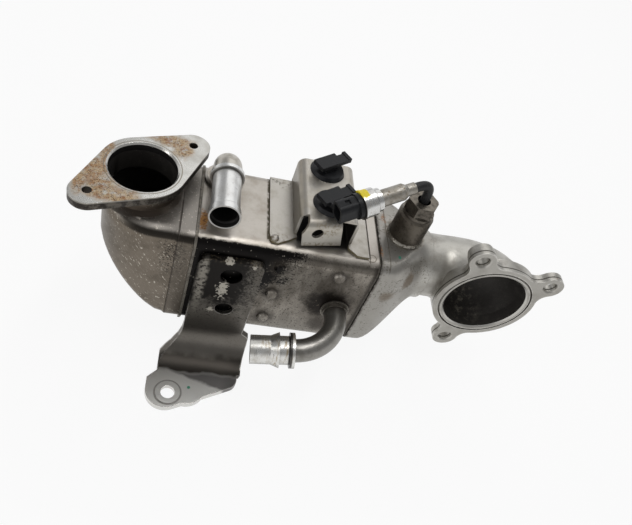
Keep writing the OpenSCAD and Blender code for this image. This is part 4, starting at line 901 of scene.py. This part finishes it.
for finish, names in DRESS:
    material = finish()
    for name in names:
        if name not in skins:
            nodes[name].data.materials.clear()
            nodes[name].data.materials.append(material)
            continue
        # A skin's faces already hold their slots, so it isn't cleared
        skins[name].data.materials.append(material)
        if name in PROBES:
            skins[name].data.materials.append(gas_side)


def looked_at(tree):
    """1 for rays that look at the background, from the camera or by way of metal and clear surfaces."""
    path = tree.nodes.new("ShaderNodeLightPath")
    value = path.outputs["Is Camera Ray"]
    for name in ("Is Glossy Ray", "Is Transmission Ray"):
        most = tree.nodes.new("ShaderNodeMath")
        most.operation = "MAXIMUM"
        tree.links.new(value, most.inputs[0])
        tree.links.new(path.outputs[name], most.inputs[1])
        value = most.outputs[0]
    return value


# Floor just under the part, in metres: white to the camera, still carrying the soft shadow
FLOOR_REACH = 6
FLOOR_GAP = 0.0004
FLOOR_PALE = (0.82, 0.82, 0.82, 1)
FLOOR_WHITE_SHARE = 0.9
CORNER_SIGNS = ((-1, -1), (1, -1), (1, 1), (-1, 1))

floor_height = cad_box[0].z - FLOOR_GAP
floor_corners = [(FLOOR_REACH * x, FLOOR_REACH * y, floor_height) for x, y in CORNER_SIGNS]
floor_mesh = bpy.data.meshes.new("floor")
floor_mesh.from_pydata(floor_corners, [], [(0, 1, 2, 3)])
floor = bpy.data.objects.new("floor", floor_mesh)
scene.collection.objects.link(floor)
ground = bpy.data.materials.new("floor_white")
ground.use_nodes = True
ground_tree = ground.node_tree
ground_tree.nodes.clear()
ground_out = ground_tree.nodes.new("ShaderNodeOutputMaterial")
blend = ground_tree.nodes.new("ShaderNodeMixShader")
paper = ground_tree.nodes.new("ShaderNodeBsdfDiffuse")
paper.inputs["Color"].default_value = FLOOR_PALE
glow = ground_tree.nodes.new("ShaderNodeEmission")
glow.inputs["Strength"].default_value = 1.0
white = ground_tree.nodes.new("ShaderNodeMath")
white.operation = "MULTIPLY"
white.inputs[1].default_value = FLOOR_WHITE_SHARE
ground_tree.links.new(looked_at(ground_tree), white.inputs[0])
ground_tree.links.new(white.outputs[0], blend.inputs[0])
ground_tree.links.new(paper.outputs[0], blend.inputs[1])
ground_tree.links.new(glow.outputs[0], blend.inputs[2])
ground_tree.links.new(blend.outputs[0], ground_out.inputs[0])
floor_mesh.materials.append(ground)

# Studio: a room that is white at the horizon and dim above, by the height of the direction looked in
SKY_COLOR = (0.985, 0.99, 1.0, 1)
HORIZON_TOP = 0.12
DIM_FROM = 0.45
HORIZON_STRENGTH = 1.0
DIM_STRENGTH = 0.32

world = bpy.data.worlds.new("studio")
scene.world = world
world.use_nodes = True
world_tree = world.node_tree
world_tree.nodes.clear()
world_out = world_tree.nodes.new("ShaderNodeOutputWorld")
sky = world_tree.nodes.new("ShaderNodeBackground")
sky.inputs["Color"].default_value = SKY_COLOR
direction = world_tree.nodes.new("ShaderNodeTexCoord")
direction_parts = world_tree.nodes.new("ShaderNodeSeparateXYZ")
fade = world_tree.nodes.new("ShaderNodeMapRange")
fade.interpolation_type = "SMOOTHSTEP"
for socket, value in zip(fade.inputs[1:5], (HORIZON_TOP, DIM_FROM, HORIZON_STRENGTH, DIM_STRENGTH)):
    socket.default_value = value
world_tree.links.new(direction.outputs["Generated"], direction_parts.inputs[0])
world_tree.links.new(direction_parts.outputs["Z"], fade.inputs[0])
world_tree.links.new(fade.outputs[0], sky.inputs["Strength"])
world_tree.links.new(sky.outputs[0], world_out.inputs[0])

# Soft panels that look at the middle of the part
AIM = Vector((0.1, 0.0, -0.05))


def panel(name, at, size, watts):
    """An area light, placed and sized in metres."""
    data = bpy.data.lights.new(name, "AREA")
    data.shape = "RECTANGLE"
    data.size = size[0]
    data.size_y = size[1]
    data.energy = watts
    lamp = bpy.data.objects.new(name, data)
    scene.collection.objects.link(lamp)
    turn = (AIM - Vector(at)).to_track_quat("-Z", "Y").to_matrix().to_4x4()
    lamp.matrix_world = Matrix.Translation(at) @ turn


panel("back", at=(0.33, 0.66, 0.72), size=(0.9, 0.8), watts=2.2)
panel("top", at=(0.17, -0.02, 0.88), size=(0.6, 0.12), watts=2.4)
panel("side", at=(-0.85, -0.35, 0.4), size=(0.25, 0.6), watts=1.6)

scene.view_settings.view_transform = "Standard"
